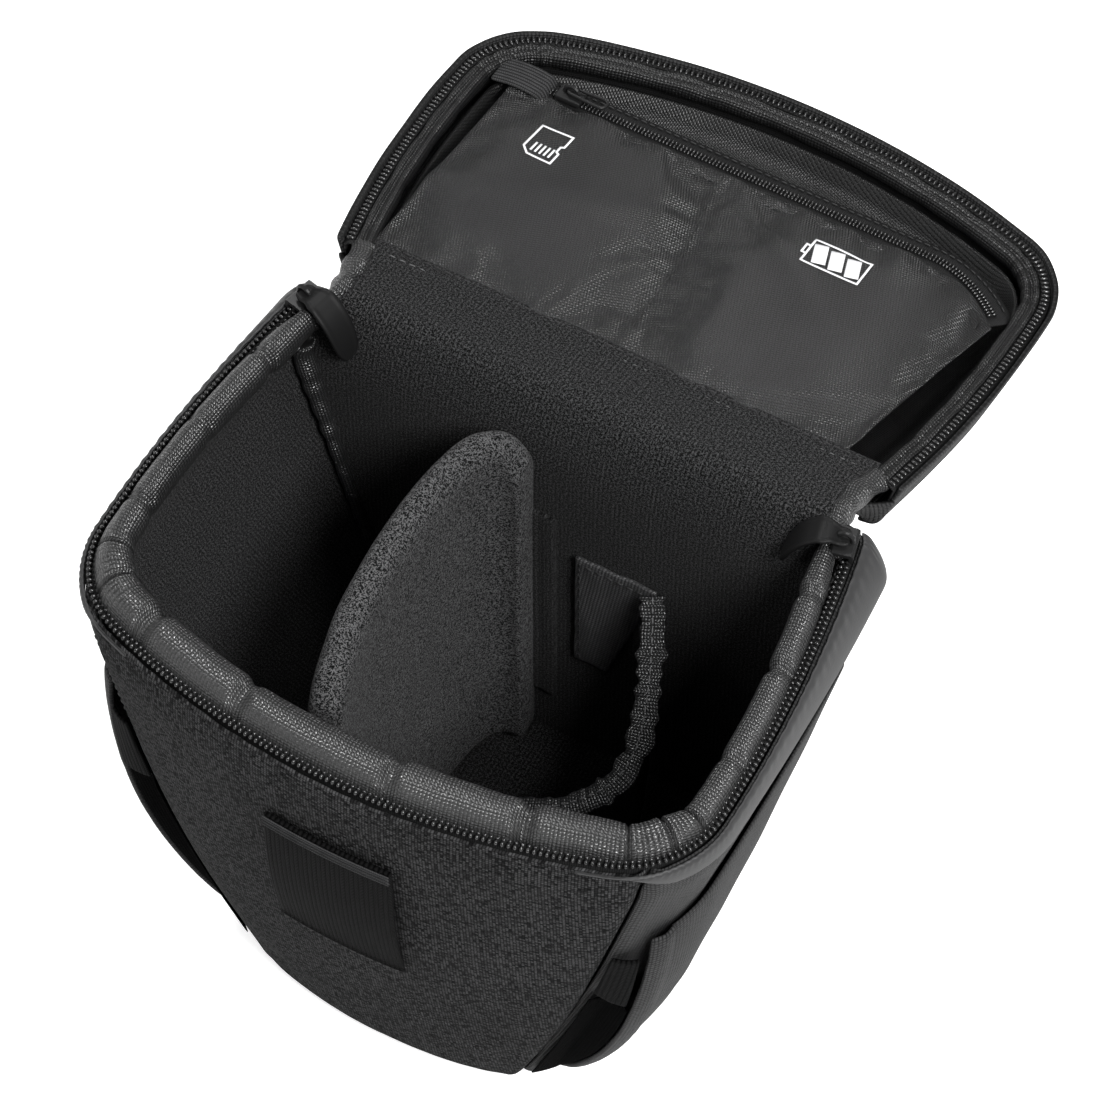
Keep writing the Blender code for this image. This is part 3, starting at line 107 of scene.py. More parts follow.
# An outline runs in columns from the middle of the back's right half, round the front, to the left.
FINE = 4
BACK_STEPS, SIDE_STEPS, CORNER_STEPS, FRONT_STEPS = 2, 6, 5, 4
CORNER_START = BACK_STEPS + SIDE_STEPS
LAST = 2 * (CORNER_START + CORNER_STEPS + FRONT_STEPS)
SEAM = CORNER_START + CORNER_STEPS - 1.6
PAD_START = BACK_STEPS + 0.4
LID_START = BACK_STEPS + 1

HINGE = Vector((0, BASE_DEPTH / 2, HEIGHT))
UP, BACKWARD, SIDEWAYS = Vector((0, 0, 1)), Vector((0, 1, 0)), Vector((1, 0, 0))
SIDES = (("right", 1), ("left", -1))
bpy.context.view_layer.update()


def mix(a, b, share):
    return a + (b - a) * share


def ease(a, b, x):
    share = min(max((x - a) / (b - a), 0.0), 1.0)
    return share * share * (3 - 2 * share)


def bump(x, middle, half):
    """A smooth hump of height one."""
    return math.exp(-((x - middle) / half)**2)


def wave(share):
    return math.sin(math.pi * share)


def rough(x, y, seed):
    return noise.noise(Vector((x, y, seed)))


def spread(first, last, count):
    return [mix(first, last, step / count) for step in range(count + 1)]


def circle(count):
    """Cosine and sine at even steps of a turn."""
    angles = [2 * math.pi * step / count for step in range(count)]
    return [(math.cos(angle), math.sin(angle)) for angle in angles]


def lay(downs, acrosses, point):
    """Rows of points, one for each step down and across."""
    return [[point(down, across) for across in acrosses] for down in downs]


def flip(point, side):
    return Vector((side * point.x, point.y, point.z))


def both_sides(rows):
    """The right side's rows, and their mirror image for the left."""
    return {"right": rows, "left": mirrored(rows)}


def mirrored(rows):
    return [[flip(point, -1) for point in reversed(row)] for row in rows]


def arc(centre, start, end, steps):
    first, last = start - centre, end - centre
    turn = math.atan2(first.x * last.y - first.y * last.x, first.dot(last))
    points = []
    for step in range(steps + 1):
        c, s = math.cos(turn * step / steps), math.sin(turn * step / steps)
        points.append(centre + Vector((first.x * c - first.y * s, first.x * s + first.y * c)))
    return points


def half_outline(back_half, front_half, depth, front_bow, side_bow, corner, back_corner):
    """Half a D of tangent arcs: back corner, bowed side, front corner and bowed front."""
    start, end = Vector((back_half, 0)), Vector((front_half, depth - front_bow))
    chord = end - start
    side_radius = (chord.length / 2)**2 / (2 * side_bow) + side_bow / 2
    side_centre = (start + end) / 2 + Vector((-chord.y, chord.x)).normalized() * (side_radius - side_bow)
    front_radius = (front_half**2 + front_bow**2) / (2 * front_bow)
    front_centre = Vector((0, depth - front_radius))
    span = front_centre - side_centre
    a, b = side_radius - corner, front_radius - corner
    reach = (span.length**2 + a**2 - b**2) / (2 * span.length)
    across = math.sqrt(max(a**2 - reach**2, 0))
    unit = span.normalized()
    foot = side_centre + unit * reach
    aside = Vector((-unit.y, unit.x)) * across
    fillet = max(foot + aside, foot - aside, key=lambda point: point.x + point.y)
    to_side = side_centre + (fillet - side_centre) * side_radius / a
    to_front = front_centre + (fillet - front_centre) * front_radius / b
    rise = back_corner - side_centre.y
    run = math.sqrt((side_radius - back_corner)**2 - rise**2)
    back_centre = Vector((side_centre.x + run, back_corner))
    to_back = side_centre + (back_centre - side_centre) * side_radius / (side_radius - back_corner)
    points = arc(back_centre, Vector((back_centre.x, 0)), to_back, BACK_STEPS * FINE)
    points += arc(side_centre, to_back, to_side, SIDE_STEPS * FINE)[1:]
    points += arc(fillet, to_side, to_front, CORNER_STEPS * FINE)[1:]
    points += arc(front_centre, to_front, Vector((0, depth)), FRONT_STEPS * FINE)[1:]
    return points


def both_halves(half):
    return half + [Vector((-point.x, point.y)) for point in reversed(half[:-1])]


def section(height):
    """The outline's sizes at a height."""
    if height >= SHOULDER_HEIGHT:
        share = min((height - SHOULDER_HEIGHT) / SHOULDER_DROP, 1.0)**SHOULDER_POWER
        return [mix(a, b, share) for a, b in zip(SHOULDER, MOUTH)]
    share = max(height, 0) / SHOULDER_HEIGHT
    sizes = [mix(a, b, share) for a, b in zip(BASE, SHOULDER)]
    for place, bulge in enumerate((WALL_BULGE, WALL_BULGE, FRONT_BULGE)):
        sizes[place] += bulge * wave(share)
    return sizes


def round_inset(height):
    left = BOTTOM_ROUND - min(max(height, 0), BOTTOM_ROUND)
    return BOTTOM_ROUND - math.sqrt(BOTTOM_ROUND**2 - left**2)


OUTLINES = {}


def outline(height):
    key = round(height, 7)
    if key not in OUTLINES:
        OUTLINES[key] = both_halves(half_outline(*section(height)))
    return OUTLINES[key]


def along(points, column):
    """A point of an outline at a column, which may lie between two of its points or past its ends."""
    place, last = column * FINE, LAST * FINE
    if place < 0:
        return points[0] + Vector((place * (points[1] - points[0]).length, 0))
    if place > last:
        return points[last] + Vector(((place - last) * (points[1] - points[0]).length, 0))
    first = min(int(place), last - 1)
    return points[first].lerp(points[first + 1], place - first)


def outward(points, column):
    run = along(points, column + 0.4) - along(points, column - 0.4)
    return Vector((run.y, -run.x)).normalized()


def world(x, forward, height):
    return Vector((x, BASE_DEPTH / 2 - forward, height))


def skin(column, height):
    points = outline(height)
    flat = along(points, column) - outward(points, column) * round_inset(height)
    return world(flat.x, flat.y, height)


WALLS = {}


def wall_frame(column, height):
    """A point of the tub's outer surface and its normal."""
    key = (round(column, 4), round(height, 6))
    if key not in WALLS:
        step = 0.0005
        rise = skin(column, min(height + step, HEIGHT)) - skin(column, max(height - step, 0))
        run = skin(column + 0.4, height) - skin(column - 0.4, height)
        WALLS[key] = (skin(column, height), rise.cross(run).normalized())
    return WALLS[key]


def wall(column, height, inset=0.0):
    """A point of the tub's wall, a distance inside its outer surface."""
    place, normal = wall_frame(column, height)
    return place - normal * inset


def wall_normal(column, height):
    return wall_frame(column, height)[1]


LID_OUTLINES = {}


def lid_flat(column, rise, inset):
    key = round(rise, 7)
    if key not in LID_OUTLINES:
        over = max(rise - (LID_HEIGHT - LID_ROUND), 0)
        drawn = LID_ROUND - math.sqrt(max(LID_ROUND**2 - over**2, 0)) + LID_DRAFT * max(rise - LID_LIP, 0)
        points = both_halves(half_outline(*MOUTH))
        LID_OUTLINES[key] = [
            point - outward(points, place / FINE) * drawn for place, point in enumerate(points)
        ]
    points = LID_OUTLINES[key]
    return along(points, column) - outward(points, column) * inset


def lid(x, forward, rise):
    """A place on the open lid, given in its closed frame from the hinge's middle."""
    c, s = math.cos(-LID_ANGLE), math.sin(-LID_ANGLE)
    return HINGE + Vector((x, -forward * c - rise * s, -forward * s + rise * c))


def lid_wall(column, rise, inset=0.0):
    flat = lid_flat(column, rise, inset)
    return lid(flat.x, flat.y, rise)


LID_UP = lid(0, 0, 1) - HINGE
LID_OUT = lid(0, 1, 0) - HINGE


def zip_line(x):
    """How far forward the lid pocket's zip lies: straight, then bending back on the right."""
    if x <= ZIP_BEND:
        return ZIP_ROW
    return mix(ZIP_ROW, ZIP_BEND_BACK, ((x - ZIP_BEND) / (ZIP_RIGHT - ZIP_BEND))**2)


def search(low, high, past):
    """The last place before a test holds, by halving."""
    for _ in range(30):
        middle = (low + high) / 2
        low, high = (low, middle) if past(middle) else (middle, high)
    return low


def inner_half(forward, rise, inset):
    column = search(BACK_STEPS, CORNER_START + CORNER_STEPS, lambda c: lid_flat(c, rise, inset).y >= forward)
    return lid_flat(column, rise, inset).x


# Materials. Every pattern is laid out in metres on the cloth's own coordinates.
class Field:
    """A value that varies over a surface. Arithmetic on it adds math nodes."""

    def __init__(self, tree, socket):
        self.tree, self.socket = tree, socket

    def calc(self, operation, other=0.0):
        return add_node(self.tree, "ShaderNodeMath", 0, {0: self, 1: other}, operation=operation)

    def __add__(self, other):
        return self.calc("ADD", other)

    def __sub__(self, other):
        return self.calc("SUBTRACT", other)

    def __mul__(self, other):
        return self.calc("MULTIPLY", other)

    def __truediv__(self, other):
        return self.calc("DIVIDE", other)

    def __pow__(self, other):
        return self.calc("POWER", other)

    def level(self, low, high):
        """A value from nought to one, spread between two levels."""
        return self * (high - low) + low

    def hump(self):
        """A rounded rise over each whole step."""
        return ((self.calc("FRACT") - 0.5) * math.pi).calc("COSINE")


def add_node(tree, kind, output, inputs=None, **settings):
    """A new node's output. Numbers are set on its inputs, and fields are linked to them."""
    node = tree.nodes.new(kind)
    for key, value in settings.items():
        setattr(node, key, value)
    for socket, value in (inputs or {}).items():
        if isinstance(value, Field):
            tree.links.new(value.socket, node.inputs[socket])
        else:
            node.inputs[socket].default_value = value
    return Field(tree, node.outputs[output])


class Shader:
    def __init__(self, name, roughness, specular=0.5, sheen=0.0, coat=0.0, metallic=0.0):
        self.material = bpy.data.materials.new(name)
        self.material.use_nodes = True
        self.tree = self.material.node_tree
        self.main = self.tree.nodes["Principled BSDF"].inputs
        values = {"Roughness": roughness, "Specular IOR Level": specular, "Sheen Weight": sheen,
                  "Coat Weight": coat, "Metallic": metallic}
        for socket, value in values.items():
            self.main[socket].default_value = value

    def space(self):
        return add_node(self.tree, "ShaderNodeTexCoord", "Object")

    def uv(self, scale_u=1, scale_v=1, turn=0.0):
        place = add_node(self.tree, "ShaderNodeTexCoord", "UV")
        return add_node(self.tree, "ShaderNodeMapping", "Vector",
                        {"Vector": place, "Scale": (scale_u, scale_v, 1), "Rotation": (0, 0, turn)})

    def split(self, vector):
        x = add_node(self.tree, "ShaderNodeSeparateXYZ", 0, {0: vector})
        return x, Field(self.tree, x.socket.node.outputs[1])

    def speckle(self, x, y):
        """A number of its own for each whole place."""
        place = add_node(self.tree, "ShaderNodeCombineXYZ", 0, {0: x, 1: y})
        return add_node(self.tree, "ShaderNodeTexWhiteNoise", "Value", {"Vector": place}, noise_dimensions="3D")

    def cloud(self, vector, scale, detail=2.0, share=0.6):
        return add_node(self.tree, "ShaderNodeTexNoise", "Fac",
                        {"Vector": vector, "Scale": scale, "Detail": detail, "Roughness": share})

    def colour(self, value, dark, light):
        inputs = {0: value, 6: tint(dark), 7: tint(light)}
        mixed = add_node(self.tree, "ShaderNodeMix", 2, inputs, data_type="RGBA")
        self.tree.links.new(mixed.socket, self.main["Base Color"])

    def height(self, value, distance, strength=1.0):
        normal = add_node(self.tree, "ShaderNodeBump", "Normal",
                          {"Distance": distance, "Strength": strength, "Height": value})
        self.tree.links.new(normal.socket, self.main["Normal"])


def tint(level):
    return (level, level, level * 1.02, 1)


def make_weave(name, pitch, dark, light, roughness, depth, specular, tone, turn=0.0, stretch=1.0, tone_and_sheen_drift=0.4,
               slub=5.0):
    """Plain weave: each cell's rounded float, with a lasting brightness for each length of yarn, and large
    patches of brightness: random tone where they are faint, painted sheen where they are strong, as on the satin.
    """
    s = Shader(name, roughness, specular)
    x, y = s.split(s.uv(1 / pitch, 1 / (pitch * stretch), turn))
    column, row = x.calc("FLOOR"), y.calc("FLOOR")
    parity = (column + row).calc("ABSOLUTE").calc("MODULO", 2.0)
    across, down = (value.hump().calc("MAXIMUM", 0.001) for value in (x, y))
    warp, weft = across * down**0.45, across**0.45 * down
    over = warp + parity * (weft - warp)
    warp_tone = s.speckle(column, (y / slub).calc("FLOOR"))
    weft_tone = s.speckle((x / slub).calc("FLOOR") + 57.0, row)
    yarn = warp_tone + parity * (weft_tone - warp_tone)
    # Large cloud patches: faint, they are random tone; strong, as on the satin, their light and dark patches are
    # painted sheen.
    broad_tone_and_sheen = s.cloud(s.uv(), 28.0, 3.0)
    s.colour(over * yarn.level(1 - tone, 1.0) * broad_tone_and_sheen.level(1 - tone_and_sheen_drift, 1 + tone_and_sheen_drift), dark, light)
    s.height(over, depth)
    return s.material


def make_velour(name, dark, light, ribs, grain=1500.0, solid=False):
    """Short pile with faint ribs. A solid one is patterned through space, for forms that don't unroll."""
    s = Shader(name, 0.95, 0.04, 0.02)
    s.main["Sheen Roughness"].default_value = 0.6
    place = s.space() if solid else s.uv()
    mottle, fibre = s.cloud(place, grain, 3.0, 0.75), s.cloud(place, grain * 2, 1.0)
    x, _ = s.split(s.uv(1 / 0.00127))
    rib = ((x + s.cloud(place, 420.0, 1.0) * 0.7) * (2 * math.pi)).calc("COSINE")
    rib = (rib * 0.5 + 0.5).level(1 - ribs, 1.0)
    s.colour((mottle + fibre * 0.5 - 0.70) * 7.0 * rib, dark, light)
    s.height((mottle + fibre) * rib, 0.00012, 0.5)
    return s.material


def make_webbing(name, rib, dark, light, roughness=0.7):
    """Ribs run along the webbing, each of slanting yarns."""
    s = Shader(name, roughness, 0.04)
    x, y = s.split(s.uv(1 / rib, 1 / rib))
    slant = y * 1.7 + x.calc("PINGPONG", 1.0) * 0.8
    yarn = (slant * math.pi).calc("SINE").calc("ABSOLUTE")
    over = x.hump().calc("MAXIMUM", 0.001)**0.7 * yarn.level(0.55, 1.0)
    s.colour(over * s.cloud(s.uv(), 300.0).level(0.6, 1.3), dark, light)
    s.height(over, 0.0004)
    return s.material


def make_smooth(name, level, roughness, specular, grain=3000.0, depth=0.00004, metallic=0.0, coat=0.0, vary=0.25):
    s = Shader(name, roughness, specular, coat=coat, metallic=metallic)
    place = s.space()
    s.colour(s.cloud(place, 60.0, 3.0), level * (1 - vary), level * (1 + vary))
    s.height(s.cloud(place, grain, 2.0), depth)
    return s.material


def make_trim():
    s = Shader("coated_trim", 0.5, 0.30)
    place = s.uv()
    s.colour(s.cloud(place, 45.0, 3.0), 0.022, 0.034)
    s.height(s.cloud(place, 1500.0, 2.0), 0.00012, 0.5)
    return s.material


MELANGE = make_weave("melange_cloth", 0.00086, 0.0005, 0.074, 0.85, 0.00010, 0.06, 0.95, slub=2.0)
BASKET = make_weave("basket_cloth", 0.00112, 0.0005, 0.046, 0.62, 0.00020, 0.20, 0.4)
OXFORD = make_weave("oxford_nylon", 0.00100, 0.0003, 0.040, 0.30, 0.00026, 0.75, 0.3)
# A darker copy of the oxford nylon for the lid's roll: its lower brightness is painted shade.
SHADED_LID_OXFORD = make_weave("lid_oxford_painted_shade", 0.00100, 0.0003, 0.016, 0.36, 0.00020, 0.40, 0.3)
# A much lighter copy of the oxford nylon for the soft divider's flange: its extra brightness is painted light,
# making up for the shade the flange sits in.
LIT_GRIP_OXFORD = make_weave("grip_oxford_painted_light", 0.00100, 0.001, 0.110, 0.36, 0.00020, 0.7, 0.3)
# The satin's strong cloud patches paint sheen: light and dark areas standing in for the highlights shifting over
# its folds.
SATIN = make_weave("satin_nylon_painted_sheen", 0.00078, 0.0002, 0.019, 0.34, 0.00022, 0.60, 0.5, 0.35, tone_and_sheen_drift=1.4)
DARK_SATIN = make_weave("dark_satin", 0.00062, 0.0002, 0.010, 0.36, 0.00010, 0.32, 0.4, 0.35)
# Near-black cloth for the sheets that close the side pockets' mouths: its darkness is painted shade in the
# mouths.
POUCH_SHADE = make_weave("pouch_mouth_painted_shade", 0.00090, 0.0001, 0.0024, 0.95, 0.00010, 0.02, 0.4)
# A light copy of the webbing for the patch's hem cords: its brightness is painted highlight along their ridges.
PATCH_EDGE_HIGHLIGHT = make_webbing("patch_edge_painted_highlight", 0.0010, 0.01, 0.07)
DARK_NYLON = make_weave("dark_nylon", 0.00060, 0.001, 0.010, 0.6, 0.00005, 0.12, 0.3)
TAPE = make_weave("tape_weave", 0.00060, 0.001, 0.022, 0.7, 0.00007, 0.15, 0.3, stretch=0.7)
VELOUR = make_velour("velour", 0.002, 0.048, 0.55)
PAD_VELOUR = make_velour("pad_velour", 0.003, 0.090, 0.05, 1400.0, True)
WEBBING = make_webbing("ribbed_webbing", 0.0014, 0.0002, 0.006)
TAB_WEBBING = make_webbing("tab_webbing", 0.0012, 0.003, 0.060, 0.55)
TRIM = make_trim()
THREAD = make_smooth("sewing_thread", 0.014, 0.55, 0.4)
LIGHT_THREAD = make_smooth("grey_thread", 0.085, 0.55, 0.4)
COIL = make_smooth("coil_plastic", 0.010, 0.26, 0.7, depth=0.00002, coat=0.15)
METAL = make_smooth("black_nickel", 0.012, 0.42, 0.25, 900.0, 0.00001, 0.2)
RUBBER = make_smooth("moulded_rubber", 0.006, 0.50, 0.14)
PRINT = make_smooth("white_print", 0.78, 0.6, 0.3, depth=0.00002, vary=0.04)
SLOTS = {
    "melange_weave": (MELANGE,), "basket_weave": (BASKET,), "grey_trim": (TRIM,), "velour": (VELOUR, PAD_VELOUR),
    "webbing": (WEBBING, TAB_WEBBING, PATCH_EDGE_HIGHLIGHT), "zip_tape": (TAPE,), "zip_coil": (COIL,),
    "lining_nylon": (SATIN, DARK_SATIN, DARK_NYLON, POUCH_SHADE, PRINT), "pull_rubber": (RUBBER,),
    "binding_nylon": (OXFORD, SHADED_LID_OXFORD, LIT_GRIP_OXFORD, THREAD, LIGHT_THREAD), "black_metal": (METAL,),
}
SLOT_OF = {material.name: slot for slot, materials in SLOTS.items() for material in materials}


# Pieces.
def bake(obj):
    """The piece's modifiers, applied."""
    bpy.context.view_layer.update()
    graph = bpy.context.evaluated_depsgraph_get()
    mesh = bpy.data.meshes.new_from_object(obj.evaluated_get(graph), depsgraph=graph)
    obj.modifiers.clear()
    obj.data = mesh


def piece(name, mesh, material, body, replaces=(), thick=0.0, offset=-1.0, subdivide=0, blend=None):
    obj = bpy.data.objects.new(name, mesh)
    bpy.context.scene.collection.objects.link(obj)
    mesh.materials.clear()
    mesh.materials.append(material)
    mesh.shade_smooth()
    if thick:
        shell = obj.modifiers.new("thickness", "SOLIDIFY")
        shell.thickness = thick
        shell.offset = offset
    if subdivide:
        obj.modifiers.new("smooth", "SUBSURF").levels = subdivide
    if thick or subdivide:
        bake(obj)
    if blend:
        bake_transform(obj)
    else:
        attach(obj, body)
    if replaces:
        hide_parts(*replaces)
    return obj


def solid(name, points, faces):
    mesh = bpy.data.meshes.new(name)
    mesh.from_pydata(points, [], faces)
    return mesh


def grid(name, rows, ring=False):
    """A surface through rows of points. Its pattern coordinates are lengths along the cloth."""
    width = len(rows[0])
    middle = width // 2
    down, places = 0.0, []
    for number, row in enumerate(rows):
        run = [0.0]
        for a, b in zip(row, row[1:] + row[:1]):
            run.append(run[-1] + (b - a).length)
        if number:
            down += (row[middle] - rows[number - 1][middle]).length
        places.append([(length - run[middle], down) for length in run])
    faces, corners = [], []
    for number, (low, high) in enumerate(zip(places, places[1:])):
        for place in range(width if ring else width - 1):
            a = number * width + place
            b = number * width + (place + 1) % width
            faces.append((a, a + width, b + width, b))
            corners += [*low[place], *high[place], *high[place + 1], *low[place + 1]]
    mesh = solid(name, [point for row in rows for point in row], faces)
    mesh.uv_layers.new(name="UVMap").data.foreach_set("uv", corners)
    return mesh


def fill(mesh, *rings):
    """Closes rings of points with a face each."""
    work = bmesh.new()
    work.from_mesh(mesh)
    work.verts.ensure_lookup_table()
    for ring in rings:
        work.faces.new([work.verts[number] for number in ring])
    bmesh.ops.recalc_face_normals(work, faces=work.faces)
    work.to_mesh(mesh)
    work.free()


def disc(name, rings, forward):
    """A surface through rings of points, the last of them filled. Its pattern is laid out flat."""
    mesh = grid(name, rings, ring=True)
    count = len(rings[0])
    fill(mesh, range((len(rings) - 1) * count, len(rings) * count))
    for loop in mesh.loops:
        point = mesh.vertices[loop.vertex_index].co
        mesh.uv_layers[0].data[loop.index].uv = (point.x, point.dot(forward))
    return mesh


def cut(rows):
    """A cloth's flat width and length, and its flat area."""
    width = max(sum((b - a).length for a, b in zip(row, row[1:])) for row in rows)
    length = max(sum((b - a).length for a, b in zip(line, line[1:])) for line in zip(*rows))
    area = 0.0
    for low, high in zip(rows, rows[1:]):
        for a, b, c, d in zip(low, low[1:], high[1:], high):
            area += ((b - a).cross(c - a).length + (c - a).cross(d - a).length) / 2
    return (width, length), min(area, width * length)


def cloth(name, rows, material, body, replaces=(), thick=0.0011, offset=-1.0, subdivide=1, blend=None, held=None,
          settle=None):
    mesh = grid(name, rows)
    if settle:
        swell(mesh, *settle)
    obj = piece(name, mesh, material, body, replaces, thick, offset, subdivide, blend)
    if held:
        flat, area = cut(rows)
    return obj


CLOTH_MASS = 0.02
CLOTH_STIFFNESS = 8.0
CLOTH_BENDING = 0.02
CLOTH_FRAMES = 20


def swell(mesh, pinned, pressure, spare, cap):
    """Cloth simulation: the cloth, cut a little too large, swells between the seams that hold it."""
    obj = bpy.data.objects.new("settling_cloth", mesh)
    bpy.context.scene.collection.objects.link(obj)
    obj.vertex_groups.new(name="seams").add(pinned, 1.0, "REPLACE")
    modifier = obj.modifiers.new("cloth", "CLOTH")
    settings = modifier.settings
    settings.quality = 8
    settings.mass = CLOTH_MASS
    settings.tension_stiffness = settings.compression_stiffness = CLOTH_STIFFNESS
    settings.shear_stiffness = CLOTH_STIFFNESS / 2
    settings.bending_stiffness = CLOTH_BENDING
    settings.vertex_group_mass = "seams"
    settings.shrink_min = -spare
    settings.use_pressure = True
    settings.uniform_pressure_force = pressure
    settings.effector_weights.gravity = 0
    modifier.point_cache.frame_start, modifier.point_cache.frame_end = 1, CLOTH_FRAMES
    for number in range(1, CLOTH_FRAMES + 1):
        bpy.context.scene.frame_set(number)
    result = obj.evaluated_get(bpy.context.evaluated_depsgraph_get()).data
    moves = [new.co - old.co for new, old in zip(result.vertices, mesh.vertices)]
    bpy.data.objects.remove(obj)
    bpy.context.scene.frame_set(1)
    for vertex, move in zip(mesh.vertices, moves):
        vertex.co += move * min(1.0, cap / max(move.length, cap))


def roll(name, loops, material, body, replaces=(), blend=None):
    """A closed tube through rings of points, capped at both ends."""
    mesh = grid(name, loops, ring=True)
    count, total = len(loops[0]), len(loops) * len(loops[0])
    fill(mesh, range(count), range(total - 1, total - 1 - count, -1))
    return piece(name, mesh, material, body, replaces, subdivide=1, blend=blend)


def even(pairs, step, start=0.0):
    """Places at equal steps along a path of (point, normal) pairs, each with its run and normal."""
    places, gone, wanted = [], 0.0, start
    for (a, na), (b, nb) in zip(pairs, pairs[1:]):
        span = (b - a).length
        while span > 0 and wanted <= gone + span:
            share = (wanted - gone) / span
            places.append((a.lerp(b, share), (b - a).normalized(), na.lerp(nb, share).normalized()))
            wanted += step
        gone += span
    return places


def ball(rings, sides):
    points = [(0, 0, 1)]
    for ring in range(1, rings):
        angle = math.pi * ring / rings
        points += [(math.sin(angle) * c, math.sin(angle) * s, math.cos(angle)) for c, s in circle(sides)]
    points.append((0, 0, -1))
    faces = [(0, 1 + i, 1 + (i + 1) % sides) for i in range(sides)]
    for low in range(1, 1 + (rings - 2) * sides, sides):
        for i in range(sides):
            j = (i + 1) % sides
            faces.append((low + i, low + sides + i, low + sides + j, low + j))
    low = 1 + (rings - 2) * sides
    faces += [(low + i, len(points) - 1, low + (i + 1) % sides) for i in range(sides)]
    return points, faces


BALL_POINTS, BALL_FACES = ball(5, 8)


def beads(name, places, lobes, material, body, replaces=()):
    """Small lumps along a path. Each lobe: half sizes along, across and up, then its place across and up."""
    points, faces = [], []
    for place, run, up in places:
        across = run.cross(up).normalized()
        up = across.cross(run)
        for long, wide, tall, aside, lift in lobes:
            first = len(points)
            middle = place + across * aside + up * lift
            points += [middle + run * (x * long) + across * (y * wide) + up * (z * tall)
                       for x, y, z in BALL_POINTS]
            faces += [tuple(first + corner for corner in face) for face in BALL_FACES]
    return piece(name, solid(name, points, faces), material, body, replaces)


def stitches(name, pairs, body, material=THREAD, pitch=0.0031, long=0.0011, wide=0.00027):
    return beads(name, even(pairs, pitch, pitch / 2), [(long, wide, wide, 0, 0.0001)], material, body)


# The tub's outer panels.
PANEL_HEIGHTS = [BOTTOM_ROUND * (1 - math.cos(math.radians(angle))) for angle in (22, 34, 46, 58, 70, 80)]
PANEL_HEIGHTS += spread(BOTTOM_ROUND, HEIGHT - 0.0028, 34)
COLUMN_RUN = 0.0085
PUCKER_PITCH = 0.0042


def panel_rows(columns, seed, seams, top_pucker=0.0):
    """A wall panel, drawn in along its seams and puckered under the rim."""
    def point(height, column):
        lift = 0.0007 * rough(column * 0.30, height * 22, seed)
        lift += 0.00025 * rough(column * 1.3, height * 80, seed)
        lift *= ease(0.0, 0.02, height)
        for seam in seams:
            beside = seam + (0.45 if seam == columns[0] else -0.45)
            lift += 0.0005 * bump(column, beside, 0.25) - 0.0010 * bump(column, seam, 0.16)
        ripple = math.sin(column * 2 * math.pi * COLUMN_RUN / PUCKER_PITCH + 2 * rough(column, 0, 3.0))
        return wall(column, height, -lift - top_pucker * bump(height, HEIGHT - 0.004, 0.006) * ripple)

    return lay(PANEL_HEIGHTS, columns, point)


def make_panels():
    def back(height, share):
        edge = wall(-0.3, height)
        x = mix(GAP - edge.x, edge.x - GAP, share)
        return Vector((-x, edge.y + 0.0002 * rough(x * 60, height * 40, 3.0), edge.z))

    front = (SEAM + 0.02, LAST - SEAM - 0.02)
    cloth("bag_front", panel_rows(spread(*front, 96), 1.0, front, 0.00012), MELANGE, "tub", ["front_panel"],
          SHELL, held="stretched")
    side = spread(-0.3, SEAM - 0.02, 62)
    cloth("bag_side_right", panel_rows(side, 2.0, side[-1:]), BASKET, "tub", ["side_panel_right"], SHELL,
          held="stretched")
    cloth("bag_side_left", mirrored(panel_rows(side, 5.0, side[-1:])), BASKET, "tub", ["side_panel_left"],
          SHELL, held="stretched")
    cloth("bag_back", lay(PANEL_HEIGHTS, spread(0, 1, 20), back), BASKET, "tub", ["back_panel"], SHELL,
          held="stretched")
    make_base()
    for name, side in SIDES:
        pairs = []
        for height in spread(0.010, HEIGHT - 0.017, 60):
            place, normal = wall(SEAM - 0.42, height, -0.0002), wall_normal(SEAM - 0.42, height)
            pairs.append((flip(place, side), flip(normal, side)))
        stitches("seam_stitch_" + name, pairs, "tub")


def make_base():
    def point(share, edge):
        return Vector((edge.x * share, edge.y * share, 0.0002 * (1 - share) + 0.0006 * ease(0.94, 1.0, share)))

    edge = [skin(column, PANEL_HEIGHTS[0]) for column in spread(0, LAST, 120)]
    mesh = disc("bag_base", lay((1.0, 0.96, 0.85, 0.6, 0.30), edge, point), BACKWARD)
    piece("bag_base", mesh, BASKET, "tub", ["base_panel"])


def make_trims():
    def point(up, column):
        share = (column - 1) / (SEAM + 1)
        depth = mix(0.0170, 0.0085, min(share / 0.87, 1)**1.4)
        depth *= math.sqrt(max(0.02, 1 - (1 - ease(-0.2, 0.10, share))**2))
        depth = mix(depth, 0.0030, ease(0.74, 0.93, share))
        lift = 0.0013 + 0.0003 * wave(up) - 0.0008 * ease(0.88, 1.0, up)
        lift += 0.00022 * bump(up, 0.86, 0.2) * math.sin(share * 2 * math.pi * 46 + rough(share * 30, 0, 2) * 2)
        return wall(column, mix(HEIGHT - depth, HEIGHT - 0.0026, up), -lift)

    for name, rows in both_sides(lay(spread(0, 1, 14), spread(1, SEAM + 2, 150), point)).items():
        cloth("trim_" + name, rows, TRIM, "tub", ["shoulder_trim_" + name], 0.0008)


def rim_pairs(start, drop, inset):
    return [(wall(column, HEIGHT - drop, inset), UP) for column in spread(start, LAST - start, 260)]


TUB_TAPE = ((0.012, 0.0019), (0.0060, 0.0019), (0.0030, 0.0020), (0.0021, 0.0030), (0.0021, 0.0040))
TUB_TOOTH = [(0.00056, 0.0008, 0.00075, -0.00062, 0.0003), (0.00056, 0.0007, 0.00062, 0.00085, -0.0001)]


